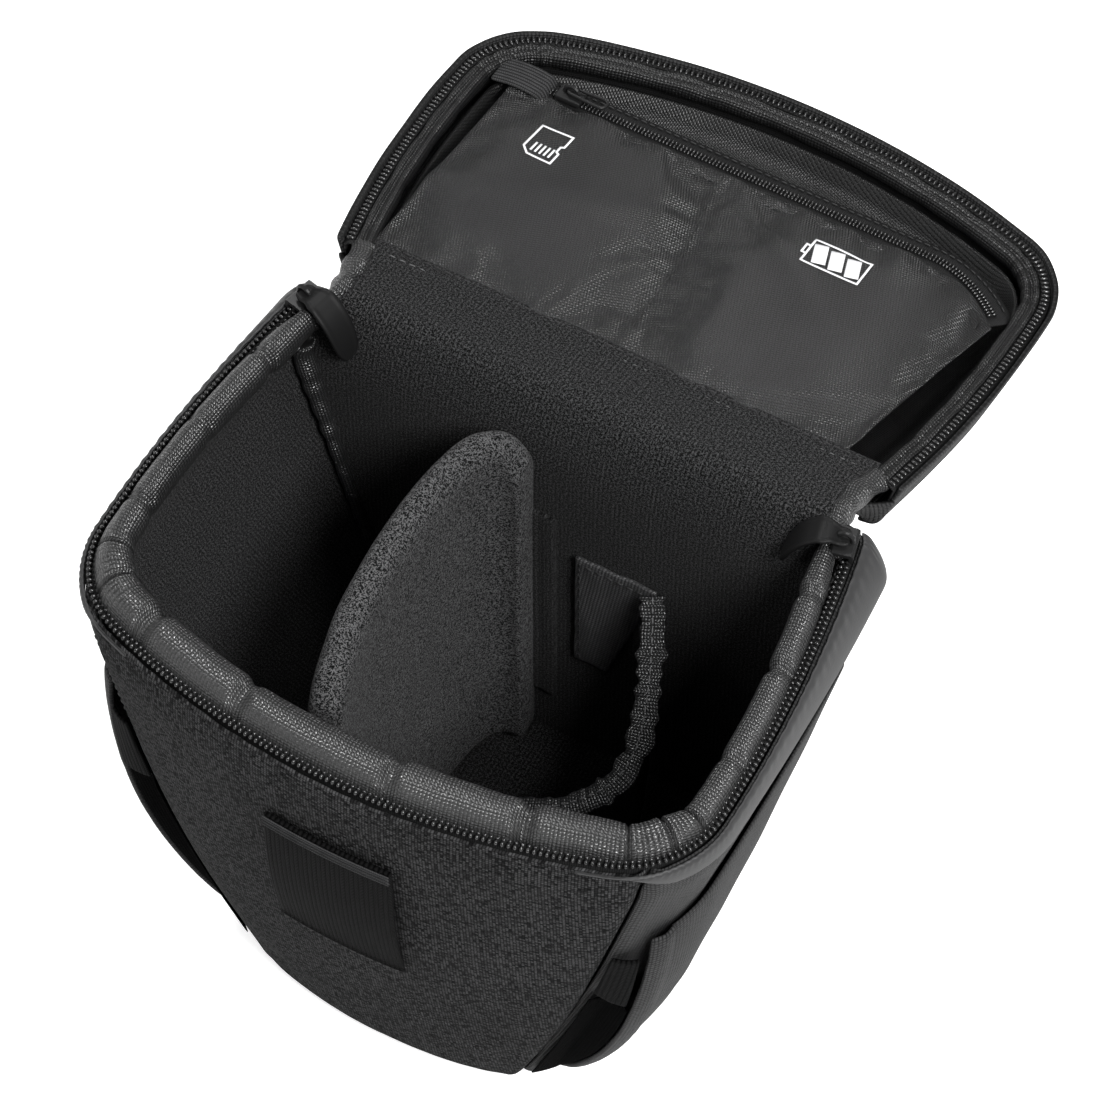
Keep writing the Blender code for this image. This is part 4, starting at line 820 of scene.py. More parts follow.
def make_tub_zip():
    rows = lay(TUB_TAPE, spread(2, LAST - 2, 240), lambda edge, column: wall(column, HEIGHT - edge[0], edge[1]))
    cloth("tub_zip_tape", rows, TAPE, "tub", ["zip_tape_tub"], 0.0006, subdivide=0)
    teeth = even(rim_pairs(2.0, COIL_DROP, COIL_INSET), TOOTH_PITCH)
    beads("tub_zip_teeth", teeth, TUB_TOOTH, COIL, "tub", ["zip_coil_tub"])
    stitches("tub_zip_stitch", rim_pairs(2.1, 0.0016, 0.0043), "tub", pitch=0.0024, long=0.0009)


# The rim roll's rings, in millimetres inward from the wall and up from the rim.
FRONT_LOOP = (
    (2.6, -3.0), (2.9, 0.2), (4.2, 3.4), (6.8, 5.6), (9.6, 6.1), (12.2, 4.9), (13.8, 2.2), (14.0, -1.2),
    (13.0, -4.6), (10.8, -7.6), (8.2, -9.4), (5.2, -8.6), (3.4, -6.2),
)
SIDE_LOOP = (
    (2.6, -2.6), (2.8, -0.2), (3.5, 1.8), (5.0, 3.2), (6.8, 3.5), (8.6, 2.6), (9.9, 0.6), (10.2, -1.8),
    (9.8, -4.4), (9.0, -6.8), (7.8, -8.6), (5.2, -8.0), (3.4, -5.6),
)
CREASES = (3.4, 5.1, 6.9, 8.8, 10.4, 12.3, 14.3, 16.3, 18.6, 20.6, 22.6, 24.9, 26.8, 28.6, 30.3)


def crease_at(column):
    """How deep the roll is drawn in by the nearest pucker."""
    depth = 0.0
    for number, place in enumerate(CREASES):
        strength = 0.75 + 0.25 * math.sin(number * 2.3)
        depth = max(depth, strength * bump(column, place + 0.1 * math.sin(number * 4.1), 0.10))
    return depth


def make_rim_roll():
    end = LAST - PAD_START
    loops = []
    for column in spread(PAD_START, end, 420):
        fat = ease(7.5, 12.0, column) * (1 - ease(23.0, 28.0, column)) * (1 - 0.45 * bump(column, 12.0, 1.6))
        fade = ease(PAD_START - 0.1, PAD_START + 0.9, column) * (1 - ease(end - 0.9, end + 0.1, column))
        draw = crease_at(column)
        base, normal = wall_frame(column, HEIGHT)
        flat = Vector((normal.x, normal.y, 0)).normalized()
        middle = Vector((mix(6.4, 8.4, fat), -2.4))
        loop = []
        for number, (a, b) in enumerate(zip(SIDE_LOOP, FRONT_LOOP)):
            free = 1.0 if 2 <= number <= 9 else 0.25
            size = 1 + free * (0.05 * rough(column * 1.6, number * 0.5, 7.0) - 0.34 * draw)
            size += free * 0.030 * rough(column * 7.0, number * 0.9, 9.0) * (1 + 2 * draw)
            place = middle.lerp(Vector(a).lerp(Vector(b), fat), size * mix(0.75, 1.0, fade)) / 1000
            loop.append(base - flat * place.x + UP * place.y)
        loops.append(loop)
    obj = roll("rim_roll", loops, OXFORD, "tub", ["rim_binding", "foam_wall"])
    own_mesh(obj)
    pairs = [(wall(column, HEIGHT - 0.0100, LINING_INSET + 0.0006), -wall_normal(column, HEIGHT - 0.01))
             for column in spread(PAD_START, end, 240)]
    stitches("rim_roll_stitch", pairs, "tub")


def make_lining():
    def side(height, column):
        return wall(column, height, LINING_INSET + 0.0006 * rough(column * 0.5, height * 30, 11.0))

    def floor(share, edge):
        x, y = edge.x * share, edge.y * share
        return Vector((x, y, 0.0088 + 0.0006 * rough(x * 50, y * 50, 4)))

    heights = [0.0085, 0.011, 0.014] + spread(0.018, HEIGHT - 0.006, 30)
    rows = lay(heights, spread(PAD_START, LAST - PAD_START, 130), side)
    cloth("lining_sides", rows, VELOUR, "tub", ["lining_wall"], 0.0012, held="stretched")
    edge = [wall(column, 0.0090, LINING_INSET + 0.0008) for column in spread(0, LAST, 100)]
    edge = [Vector((place.x, min(place.y, BASE_DEPTH / 2 - BACK_FACE), 0)) for place in edge]
    rings = lay((1.0, 0.97, 0.9, 0.8, 0.65, 0.5, 0.35, 0.2, 0.08), edge, floor)
    mesh = disc("lining_floor", rings, BACKWARD)
    piece("lining_floor", mesh, VELOUR, "tub", ["lining_base", "foam_base"], 0.0010)


# The back wall's face bends over to the hinge: how far it still has to rise, and its share of the thickness.
CURVE_FALL = (1.0, 0.80, 0.62, 0.48, 0.36, 0.26, 0.17, 0.11, 0.06)
CURVE_REACH = (1.0, 0.99, 0.965, 0.91, 0.82, 0.69, 0.54, 0.39, 0.245)
BACK_PROFILE = [(BACK_FACE, height) for height in spread(0.0088, HEIGHT - CURVE_DROP, 24)[:-1]]
BACK_PROFILE += [(BACK_FACE * r, HEIGHT - CURVE_DROP * f) for f, r in zip(CURVE_FALL, CURVE_REACH)]


def make_back_velour():
    """One sheet of velour up the back wall, over the hinge and on to the lid's seam."""
    def on_wall(profile, side):
        forward, height = profile
        x = side * (section(height)[0] - round_inset(height) - BACK_INSET)
        return world(x, forward + 0.0004 * rough(x * 40, height * 40, 5), height)

    def on_lid(share, side):
        x = side * mix(0.0726, 0.0775, share)
        rise = mix(0.0012, POCKET_LIFT - 0.0004, share**1.5) + 0.0005 * rough(x * 40, share * 2, 6)
        return lid(x, mix(0.0004, SEAM_BACK + 0.0012, share), rise)

    rows = lay(BACK_PROFILE, spread(-1, 1, 56), on_wall) + lay(spread(0, 1, 16), spread(-1, 1, 56), on_lid)
    cloth("back_velour", rows, VELOUR, None, ["lining_back", "lid_velour_flap", "foam_back"], 0.0012,
          blend=("tub", "lid", (0, HINGE.y - 0.006, HEIGHT - 0.004), lid(0, 0.012, 0.002)), held="stretched")
    for name, back, drop, thread in (("", 0.0006, 0.0018, THREAD), ("_low", 0.0036, 0.0019, LIGHT_THREAD)):
        pairs = [(lid(x, SEAM_BACK - back, POCKET_LIFT - drop), -LID_UP) for x in spread(-0.071, 0.071, 30)]
        stitches("velour_seam_stitch" + name, pairs, "lid", thread)


def make_corner_bindings():
    for name, side in SIDES:
        loops = []
        for height in spread(0.012, HEIGHT - 0.012, 130):
            half = section(height)[0] - BACK_INSET - 0.0022
            pinch = 0.92 - 0.08 * math.sin(height * 2 * math.pi / 0.009 + side)
            pinch += 0.12 * rough(height * 260, side, 8)
            pinch *= 1 + 0.6 * ease(HEIGHT - 0.060, HEIGHT - 0.020, height)
            loop = [world(side * (half + 0.00216 * pinch * c), BACK_FACE + 0.0022 + 0.0024 * pinch * s, height)
                    for c, s in circle(10)]
            loops.append(loop[::side])
        roll("corner_roll_" + name, loops, OXFORD, "tub", ["corner_binding_" + name])


# The lid.
def make_lid_outside():
    def side(rise, column):
        lift = 0.0003 * rough(column * 0.8, rise * 90, 12) + 0.0006 * bump(rise, 0.0014, 0.0014)
        return lid_wall(column, rise, -lift)

    def top(scale, flat):
        place = middle.lerp(flat, scale)
        lift = LID_DOME * (1 - scale**2) + 0.0003 * rough(place.x * 35, place.y * 35, 13) * (1 - scale)
        return lid(place.x, place.y, LID_TOP + lift - 0.0006 * ease(0.96, 1.0, scale))

    def rear_edge(share):
        half = mix(HINGE_HALF, 0.0785 - LID_DRAFT * (LID_TOP - LID_LIP), share)
        return half, mix(0.0026, edge[0].y + 0.0022, share), mix(0.0014, LID_TOP - 0.0008, share**1.1)

    def rear(share, across):
        half, forward, rise = rear_edge(share)
        return lid(across * half, forward, rise + 0.0004 * rough(across * half * 40, share * 3, 14))

    def corner(share, across):
        half, forward, rise = rear_edge(share)
        start, end = lid(half - 0.0006, forward, rise), lid_wall(LID_START - 0.15, rise, 0.0003)
        return start.lerp(end, across) + (SIDEWAYS - LID_OUT) * (0.0007 * wave(across))

    rises = [0.0004, 0.0012] + spread(0.0022, LID_HEIGHT - LID_ROUND, 8)
    rises += [LID_HEIGHT - LID_ROUND + LID_ROUND * math.sin(math.radians(a)) for a in (15, 30, 45, 60, 70, 78)]
    cloth("lid_side", lay(rises, spread(LID_START - 0.2, LAST - LID_START + 0.2, 200), side), BASKET, "lid",
          ["lid_band"], SHELL, held="stretched")
    edge = [lid_flat(column, LID_TOP, SHELL * 0.6) for column in spread(LID_START, LAST - LID_START, 130)]
    edge += [edge[-1].lerp(edge[0], step / 24) for step in range(1, 24)]
    middle = Vector((0, (MOUTH[2] + edge[0].y) / 2))
    rings = lay((1.0, 0.985, 0.95, 0.88, 0.78, 0.66, 0.52, 0.38, 0.24, 0.1), edge, top)
    piece("lid_top", disc("lid_top", rings, LID_OUT), MELANGE, "lid", ["lid_cover"], SHELL)
    cloth("lid_rear", lay(spread(0, 1, 12), spread(1, -1, 40), rear), BASKET, "lid", ["lid_rear_panel"], SHELL)
    for name, rows in both_sides(lay(spread(0.26, 1, 12), spread(1, 0, 8), corner)).items():
        cloth("lid_corner_" + name, rows, BASKET, "lid", (), SHELL)


def make_lid_lining():
    def floor(scale, flat):
        place = middle.lerp(flat, scale)
        wrinkle = 0.0006 * rough(place.x * 60, place.y * 60, 15)
        wrinkle += 0.0010 * rough(place.x * 90, place.y * 300, 19)
        rise = LID_FLOOR - 0.0014 + LID_DOME * (1 - scale**2) - 0.006 * ease(0.93, 1.0, scale)
        return lid(place.x, place.y, rise + wrinkle * ease(1.0, 0.94, scale))

    edge = [lid_flat(column, 0.012, 0.0072) for column in spread(LID_START + 0.4, LAST - LID_START - 0.4, 110)]
    edge += [edge[-1].lerp(edge[0], step / 20) for step in range(1, 20)]
    middle = Vector((0, 0.07))
    rings = lay((1.0, 0.99, 0.96, 0.9, 0.8, 0.6, 0.35, 0.1), edge, floor)
    mesh = disc("lid_inner", rings, LID_OUT)
    piece("lid_inner", mesh, DARK_SATIN, "lid", ["lid_lining", "lid_foam"], 0.0008, 0.0)
    rows = lay(spread(0.0062, 0.0125, 5), spread(LID_START + 0.3, LAST - LID_START - 0.3, 200),
               lambda rise, column: lid_wall(column, rise, 0.0030))
    cloth("lid_inner_side", rows, DARK_NYLON, "lid", ["lid_side_lining"], 0.0010)


LID_TAPE = ((0.0120, 0.0020), (0.0060, 0.0020), (0.0030, 0.0022), (0.0022, 0.0034), (0.0022, 0.0044))
LID_TOOTH = [(0.00050, 0.00135, 0.00072, 0.0, 0.0002)]


def make_lid_zip():
    rows = lay(LID_TAPE, spread(2.8, LAST - 2.8, 240), lambda edge, column: lid_wall(column, *edge))
    cloth("lid_zip_tape", rows, TAPE, "lid", ["zip_tape_lid"], 0.0006, subdivide=0)
    pairs = [(lid_wall(column, COIL_DROP, COIL_INSET + 0.0010), -LID_UP)
             for column in spread(2.85, LAST - 2.85, 280)]
    beads("lid_zip_teeth", even(pairs, TOOTH_PITCH), LID_TOOTH, COIL, "lid", ["zip_coil_lid"])


# The lid roll's ring, in millimetres inward from the band and up from the lid's edge.
LID_LOOP = (
    (4.0, 2.8), (4.3, 1.4), (5.0, 0.7), (5.9, 0.8), (6.6, 2.2), (7.3, 1.0), (8.3, 0.9), (9.2, 1.9), (9.6, 3.8),
    (9.0, 5.8), (7.6, 7.2), (5.6, 7.2), (4.3, 5.4),
)


def make_lid_roll():
    loops = []
    for column in spread(LID_START - 0.25, LAST - LID_START + 0.25, 420):
        loop = []
        gather = 0.5 + 0.5 * math.sin(column * 5.2 + 2.4 * rough(column * 0.7, 1, 16))
        for number, ring_place in enumerate(LID_LOOP):
            free = 1.0 if 2 <= number <= 9 else 0.3
            size = 1 - 0.14 * free * gather**3 + 0.09 * free * rough(column * 2.4, number * 0.6, 17)
            size += 0.05 * free * rough(column * 8.0, number * 1.1, 18)
            place = Vector((7.0, 4.0)).lerp(Vector(ring_place), size) / 1000
            flat = lid_flat(column, 0.004, place.x)
            loop.append(lid(flat.x, flat.y, place.y))
        loops.append(loop)
    # The lid's roll takes the darker oxford copy, whose lower brightness is painted shade.
    roll("lid_roll", loops, SHADED_LID_OXFORD, "lid", ["lid_binding"])


# The lid pocket. Its stitched middle line: how far forward, and x there.
STITCH_LINE = ((0.031, -0.0026), (0.044, -0.0028), (0.058, -0.0030), (0.078, -0.0060), (0.0985, -0.0100))
PANEL_INSET = 0.0082
POCKET_PRESSURE = 1.0
POCKET_SPARE = 0.03
POCKET_CAP = 0.0014


def stitch_x(forward):
    forward = min(max(forward, STITCH_LINE[0][0]), STITCH_LINE[-1][0])
    for (t0, x0), (t1, x1) in zip(STITCH_LINE, STITCH_LINE[1:]):
        if forward <= t1:
            return mix(x0, x1, (forward - t0) / (t1 - t0))


def panel_rise(x, forward, share, side):
    """The pocket panel's height: two soft swells either side of the stitched line, and puckers by the zip."""
    line = stitch_x(forward)
    away = abs(x - line)
    puff = 0.0018 * wave(min(max(share, 0), 1))**0.7 * math.sqrt(max(0.0, 1 - abs(side)**3))
    groove = bump(away, 0, 0.006) * ease(0.10, 0.2, share)
    rise = POCKET_LIFT - 0.0006 - puff * (1 - 0.75 * groove)
    rise += 0.0011 * rough(x * 42, forward * 26, 21.0) * wave(share)
    rise += 0.0012 * rough(x * 95, share * 2.0, 22) * bump(share, 1.0, 0.22)
    rise += 0.0005 * rough(forward * 130, away * 40, 23) * bump(away, 0.0, 0.012) * ease(0.15, 0.3, share)
    fold = (x - line) * 0.7 + (forward - 0.085) * 0.7
    rise -= 0.0009 * bump(fold, 0.012, 0.004) * bump(share, 0.8, 0.25)
    fold = (x + 0.050) * 0.35 - (forward - 0.060)
    return rise - 0.0008 * bump(fold, 0.0, 0.005) * wave(share)


def make_pocket():
    """The pocket's cloth. What comes back is its surface, for the prints that lie on it."""
    edge_half = inner_half(SEAM_BACK, POCKET_LIFT, PANEL_INSET)

    def point(share, side):
        near, far = (min(POCKET_RIGHT, edge_half), ZIP_RIGHT) if side > 0 else (edge_half, ZIP_LEFT)
        x = side * mix(near, far, share)
        forward = mix(SEAM_BACK - 0.0008, zip_line(x) - 0.0026, share)
        half = inner_half(forward, POCKET_LIFT, PANEL_INSET)
        x = max(-half, min(half, x))
        return lid(x, forward, panel_rise(x, forward, share, side))

    rows = lay(spread(0, 1, 64), spread(-1, 1, 110)[::-1], point)
    width = len(rows[0])
    pinned = []
    for number, row in enumerate(rows):
        for place, spot in enumerate(row):
            forward = (spot - HINGE).dot(LID_OUT)
            on_line = forward > 0.030 and abs(spot.x - stitch_x(forward)) < 0.0010
            if number in (0, len(rows) - 1) or place in (0, width - 1) or on_line:
                pinned.append(number * width + place)
    obj = cloth("pocket_cloth", rows, SATIN, "lid", ["lid_pocket_panel"], 0.0006, 0.0, held="stretched",
                settle=(pinned, POCKET_PRESSURE, POCKET_SPARE, POCKET_CAP))
    line = [(stitch_x(t), t) for t in spread(0.032, 0.0975, 60)]
    pairs = [(lid(x, t, panel_rise(x, t, (t - 0.022) / 0.076, 0) - 0.0003), -LID_UP) for x, t in line]
    stitches("pocket_middle_stitch", pairs, "lid", pitch=0.0034, long=0.0013, wide=0.00035)
    return BVHTree.FromPolygons([v.co for v in obj.data.vertices], [p.vertices[:] for p in obj.data.polygons])


def zip_pairs(offset, rise, first, last, count=60):
    pairs = []
    for x in spread(first, last, count):
        slope = (zip_line(x + GAP) - zip_line(x - GAP)) / (2 * GAP)
        run = Vector((1, slope)).normalized()
        pairs.append((lid(x - run.y * offset, zip_line(x) + run.x * offset, rise), -LID_UP))
    return pairs


POCKET_TAPE = ((-0.0056, 0.0002), (-0.0028, -0.0003), (0.0, -0.0004), (0.0028, -0.0003), (0.0056, 0.0002))
POCKET_TOOTH = [(0.0004, 0.00085, 0.0006, 0.00072, 0.0002), (0.0004, 0.00085, 0.0006, -0.00072, 0.0002)]


def make_small_zip():
    rows = [[place for place, _ in zip_pairs(offset, POCKET_LIFT + rise, ZIP_RIGHT, -ZIP_LEFT, 110)]
            for offset, rise in POCKET_TAPE]
    cloth("pocket_tape", rows, TAPE, "lid", ["pocket_zip_tape"], 0.0005, subdivide=0)
    places = even(zip_pairs(0.0, POCKET_LIFT - 0.0008, -0.068, 0.0785, 200), 0.00112)
    beads("pocket_teeth", places, POCKET_TOOTH, COIL, "lid", ["pocket_zip_chain"])
    for name, offset in (("near", -0.0040), ("far", 0.0040)):
        pairs = zip_pairs(offset, POCKET_LIFT - 0.0005, -0.07, 0.078)
        stitches("pocket_zip_stitch_" + name, pairs, "lid", pitch=0.0026)
    loops = []
    for number, (place, _) in enumerate(zip_pairs(-0.0052, POCKET_LIFT, -ZIP_LEFT, ZIP_RIGHT, 220)):
        pinch = 1 + 0.25 * rough(number * 0.22, 3, 23) + 0.12 * math.sin(number * 0.55)
        loops.append([place + LID_OUT * (0.0021 * pinch * c) + LID_UP * (0.0010 * pinch * s - 0.0006)
                      for c, s in circle(8)])
    roll("pocket_edge_roll", loops, SATIN, "lid")


def make_print(tree, name, lines, place, along_x, along_t, size, width=0.00062):
    """A printed pictogram: flat strips laid just over the pocket's cloth."""
    points, faces = [], []
    for line in lines:
        flat = [tuple(place[axis] + (x * along_x[axis] + y * along_t[axis]) * size for axis in (0, 1))
                for x, y in line]
        fine = []
        for (x0, t0), (x1, t1) in zip(flat, flat[1:]):
            steps = max(1, int(math.hypot(x1 - x0, t1 - t0) / 0.001))
            fine += [Vector((mix(x0, x1, i / steps), mix(t0, t1, i / steps))) for i in range(steps)]
        fine.append(Vector(flat[-1]))
        closed = line[0] == line[-1]
        first = len(points)
        for number, here in enumerate(fine):
            before = fine[number - 1] if number else fine[-2] if closed else here
            after = fine[number + 1] if number + 1 < len(fine) else fine[1] if closed else here
            run_a, run_b = (here - before).normalized(), (after - here).normalized()
            run_a = run_a if run_a.length else run_b
            run_b = run_b if run_b.length else run_a
            middle = (run_a + run_b).normalized()
            aside = Vector((-middle.y, middle.x)) * (width / 2 / max(0.5, middle.dot(run_a)))
            for spot in (here - aside, here + aside):
                points.append(tree.ray_cast(lid(spot.x, spot.y, -0.01), LID_UP)[0] - LID_UP * 0.00018)
        faces += [(a, a + 1, a + 3, a + 2) for a in range(first, len(points) - 2, 2)]
    piece(name, solid(name, points, faces), PRINT, "lid", thick=0.00012, offset=0.0)


CARD = [[(-0.42, 0.5), (0.42, 0.5), (0.42, 0.12), (0.34, 0.08), (0.34, -0.10), (0.42, -0.14), (0.42, -0.5),
         (-0.22, -0.5), (-0.42, -0.32), (-0.42, 0.5)]]
CARD += [[(x, -0.36), (x, -0.06)] for x in (-0.21, -0.09, 0.03, 0.15, 0.27)]
CELL = [[(-0.5, 0.26), (0.42, 0.26), (0.42, -0.26), (-0.5, -0.26), (-0.5, 0.26)],
        [(-0.5, 0.09), (-0.57, 0.09), (-0.57, -0.09), (-0.5, -0.09)]]
CELL_BARS = [[(x + 0.06, -0.19), (x - 0.06, 0.19)] for x in (-0.31, -0.04, 0.23)]


def make_prints(tree):
    make_print(tree, "card_print", CARD, (-0.0548, 0.0796), (0.94, -0.06), (0.06, 1.0), 0.0125)
    battery = ((0.0345, 0.0826), (1.0, 0.02), (0.02, 1.0), 0.0185)
    make_print(tree, "battery_print", CELL, *battery)
    make_print(tree, "battery_bars", CELL_BARS, *battery, 0.0040)


def strip(name, path, across, width, material, body, replaces, thick, columns=8):
    """Webbing along a path of (point, normal) pairs, with rounded edges."""
    rows = lay(path, spread(-1, 1, columns), lambda step, share: (
        step[0] + across * (share * width / 2) - step[1] * (0.0002 * share**6)))
    cloth(name, rows, material, body, replaces, thick)


def make_end_tab():
    low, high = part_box("zip_end_tab")
    path = []
    for share in spread(0, 1, 16):
        rise = POCKET_LIFT - 0.0022 - 0.0012 * wave(share) + 0.0034 * ease(0.90, 1.0, share)
        path.append((lid(mix(low[0] - 0.0015, high[0], share), ZIP_ROW - 0.0004, rise), -LID_UP))
    strip("end_tab", path, LID_OUT, 0.0105, TAB_WEBBING, "lid", ["zip_end_tab"], 0.0014)


HANDLE_HALF = 0.055
HANDLE_FOOT = 0.018
HANDLE_STAND = 0.014
HANDLE_ROW = 0.068
FOOT_STITCH = ((-0.0045, -0.008), (0.0045, -0.008), (0.0045, 0.008), (-0.0045, 0.008), (-0.0045, -0.008),
               (0.0045, 0.008))


def handle_base(x):
    """The domed lid's rise under the handle."""
    return LID_TOP + LID_DOME * (1 - (abs(x) / 0.086)**2 * 0.9)


def make_handle():
    path = []
    for share in spread(-1, 1, 48):
        arch = math.sin(math.pi / 2 * max(1 - abs(share) / (1 - HANDLE_FOOT / HANDLE_HALF), 0))**0.8
        x = share * HANDLE_HALF
        path.append((lid(x, HANDLE_ROW, handle_base(x) + 0.0020 + HANDLE_STAND * arch), LID_UP))
    strip("handle", path, LID_OUT, 0.022, WEBBING, "lid", ["carry_handle"], 0.0016)
    for name, side in SIDES:
        spots = [(side * 0.049 + dx, HANDLE_ROW + dt) for dx, dt in FOOT_STITCH]
        pairs = [(lid(x, forward, handle_base(x) + 0.0021), LID_UP) for x, forward in spots]
        stitches("handle_stitch_" + name, pairs, "lid")


# The dividers. Their plans: how far aside and how far forward, and the top's share of the height there.
PLAN = ((0.16, 0.0), (0.27, 0.006), (0.36, 0.036), (0.43, 0.09), (0.48, 0.20), (0.505, 0.35), (0.50, 0.53),
        (0.465, 0.72), (0.385, 0.90), (0.33, 1.0))
TOPS = (0.925, 0.985, 1.0, 1.0, 1.0, 1.0, 1.0, 1.0, 0.99, 0.95)
SOFT_PLAN = ((0.0, 0.0), (0.24, 0.16), (0.50, 0.38), (0.62, 0.58), (0.45, 0.76), (-0.15, 0.91), (-0.9, 1.0))
SOFT_TOPS = (1.0, 0.93, 0.83, 0.73, 0.66, 0.58, 0.54)
DIVIDER_BACK = BACK_FACE + 0.0020
DIVIDER_LOW = 0.0125
GRIP_FORWARD = BACK_FACE + 0.0032


def curve_at(points, share):
    """A smooth value through evenly numbered points."""
    place = min(max(share, 0), 1) * (len(points) - 1)
    i = min(int(place), len(points) - 2)
    f = place - i
    p = [points[min(max(k, 0), len(points) - 1)] for k in (i - 1, i, i + 1, i + 2)]
    values = []
    for a, b, c, d in zip(*[q if isinstance(q, tuple) else (q,) for q in p]):
        square, cube = 2 * a - 5 * b + 4 * c - d, 3 * b - a - 3 * c + d
        values.append(0.5 * (2 * b + (c - a) * f + square * f**2 + cube * f**3))
    return values if len(values) > 1 else values[0]


def run_at(point, share):
    """The direction of a curve at a share of it."""
    return (point(min(share + 0.01, 1)) - point(max(share - 0.01, 0))).normalized()


def make_divider():
    def centre(share):
        left, forward = curve_at(PLAN, share)
        return Vector((-0.050 * left, mix(DIVIDER_BACK + 0.004, BASE_DEPTH - 0.0090, forward)))

    loops = []
    for share in spread(0, 1, 90):
        middle, run = centre(share), run_at(centre, share)
        aside = Vector((-run.y, run.x))
        top = mix(DIVIDER_LOW, HEIGHT - 0.0055, curve_at(TOPS, share))
        end = min(share, 1 - share)
        half = 0.0047 * max(0.12, math.sqrt(1 - (1 - min(end / 0.035, 1))**2))
        profile = []
        for up in [0.0] + spread(0.03, 0.93, 22) + [0.955, 0.972, 0.985, 0.994]:
            round_top = math.sqrt(1 - max(0.0, (up - 0.955) / 0.045)**2)
            profile.append((half * round_top * (1 + 0.10 * wave(up) * wave(share)), up))
        loop = []
        for offset, up in profile + [(0.0, 1.0)] + [(-offset, up) for offset, up in reversed(profile)]:
            dent = 0.0005 * rough(share * 5, up * 5, 31 if offset > 0 else 30) - 0.0003 * bump(up, 0.945, 0.010)
            flat = middle + aside * (offset + math.copysign(dent, offset) if offset else 0.0)
            loop.append(world(flat.x, flat.y, mix(DIVIDER_LOW, top, up)))
        loops.append(loop)
    roll("divider_pad", loops, PAD_VELOUR, "padded_divider", ["padded_divider"])

    def grip(height, x):
        dent = 0.0003 * rough(x * 100, height * 50, 31) - 0.0004 * bump(x, -0.0065, 0.0009)
        return world(x, GRIP_FORWARD + dent, height)

    rows = lay(spread(0.031, HEIGHT - 0.0425, 30), spread(-0.0015, -0.0115, 10), grip)
    cloth("divider_grip", rows, VELOUR, "padded_divider", ["divider_flange"], 0.0016)


SOFT_START = 0.029
SOFT_HIGH = HEIGHT - 0.056


def soft_top(share):
    """The soft divider's top edge."""
    right, forward = curve_at(SOFT_PLAN, share)
    height = mix(DIVIDER_LOW, SOFT_HIGH, curve_at(SOFT_TOPS, share))
    return world(SOFT_START + 0.020 * right, DIVIDER_BACK + 0.0018 + 0.056 * forward, height)


def make_soft_divider():
    def hanging(up, share):
        top = soft_top(share)
        fold = 0.0011 * rough(share * 7, up * 3.0, 40)
        fold += 0.0008 * math.sin(share * 38 + 2 * rough(share * 4, up, 41)) * up**2
        x = mix(SOFT_START, top.x, mix(0.75, 1, up))
        return Vector((x + fold, top.y + fold * 0.4, mix(DIVIDER_LOW, top.z - 0.0015, up)))

    def grip(share, side):
        x = mix(0.0045, mix(0.0150, 0.0300, share), side)
        height = mix(SOFT_HIGH - 0.052, SOFT_HIGH + 0.0005, share)
        return world(x, GRIP_FORWARD + 0.0006 * rough(x * 160, height * 160, 44), height)

    cloth("soft_divider_cloth", lay(spread(0, 1, 40), spread(0, 1, 70), hanging), SATIN, "soft_divider",
          ["soft_divider"], 0.0008, 0.0, held="hung")
    loops = []
    for share in spread(0, 1, 150):
        top, run = soft_top(share), run_at(soft_top, share)
        aside = run.cross(UP).normalized()
        over = aside.cross(run).normalized()
        pinch = 1 + 0.34 * rough(share * 17, 0, 42) + 0.30 * rough(share * 41, 1, 45)
        lean = 0.0011 * rough(share * 14, 2, 43)
        loop = []
        for c, s in circle(12):
            gather = 1 + 0.5 * rough(share * 60, c * 1.5, 46)
            loop.append(top + aside * (0.0037 * pinch * c + lean)
                        + over * (0.0016 * gather * s + 0.0006 * pinch * c))
        loops.append(loop)
    roll("soft_divider_roll", loops, OXFORD, "soft_divider", ["soft_divider_edge"])
    pairs = [(soft_top(share) + UP * 0.0019, UP) for share in spread(0.02, 0.98, 60)]
    stitches("soft_roll_stitch", pairs, "soft_divider", LIGHT_THREAD, pitch=0.0027)
    # The flange takes the lighter oxford copy, whose extra brightness is painted light.
    cloth("soft_divider_grip", lay(spread(0, 1, 24), spread(1, 0, 16), grip), LIT_GRIP_OXFORD, "soft_divider",
          ["soft_divider_flange"], 0.0012)
    corners = [(0.0064, SOFT_HIGH - 0.0505), (0.0064, SOFT_HIGH - 0.0022), (0.0265, SOFT_HIGH - 0.0022)]
    pairs = [(world(x, BACK_FACE + 0.0034, height), -BACKWARD) for x, height in corners]
    stitches("soft_grip_stitch", pairs, "soft_divider")


# The front patch, side pockets and back fittings.
def front_at(x, height, lift):
    """A place over the front panel and its normal."""
    column = round(search(SEAM, LAST - SEAM, lambda c: skin(c, height).x <= x), 4)
    return wall(column, height, -lift), wall_normal(column, height)


PATCH_LEFT, PATCH_RIGHT = -0.0204, 0.0176


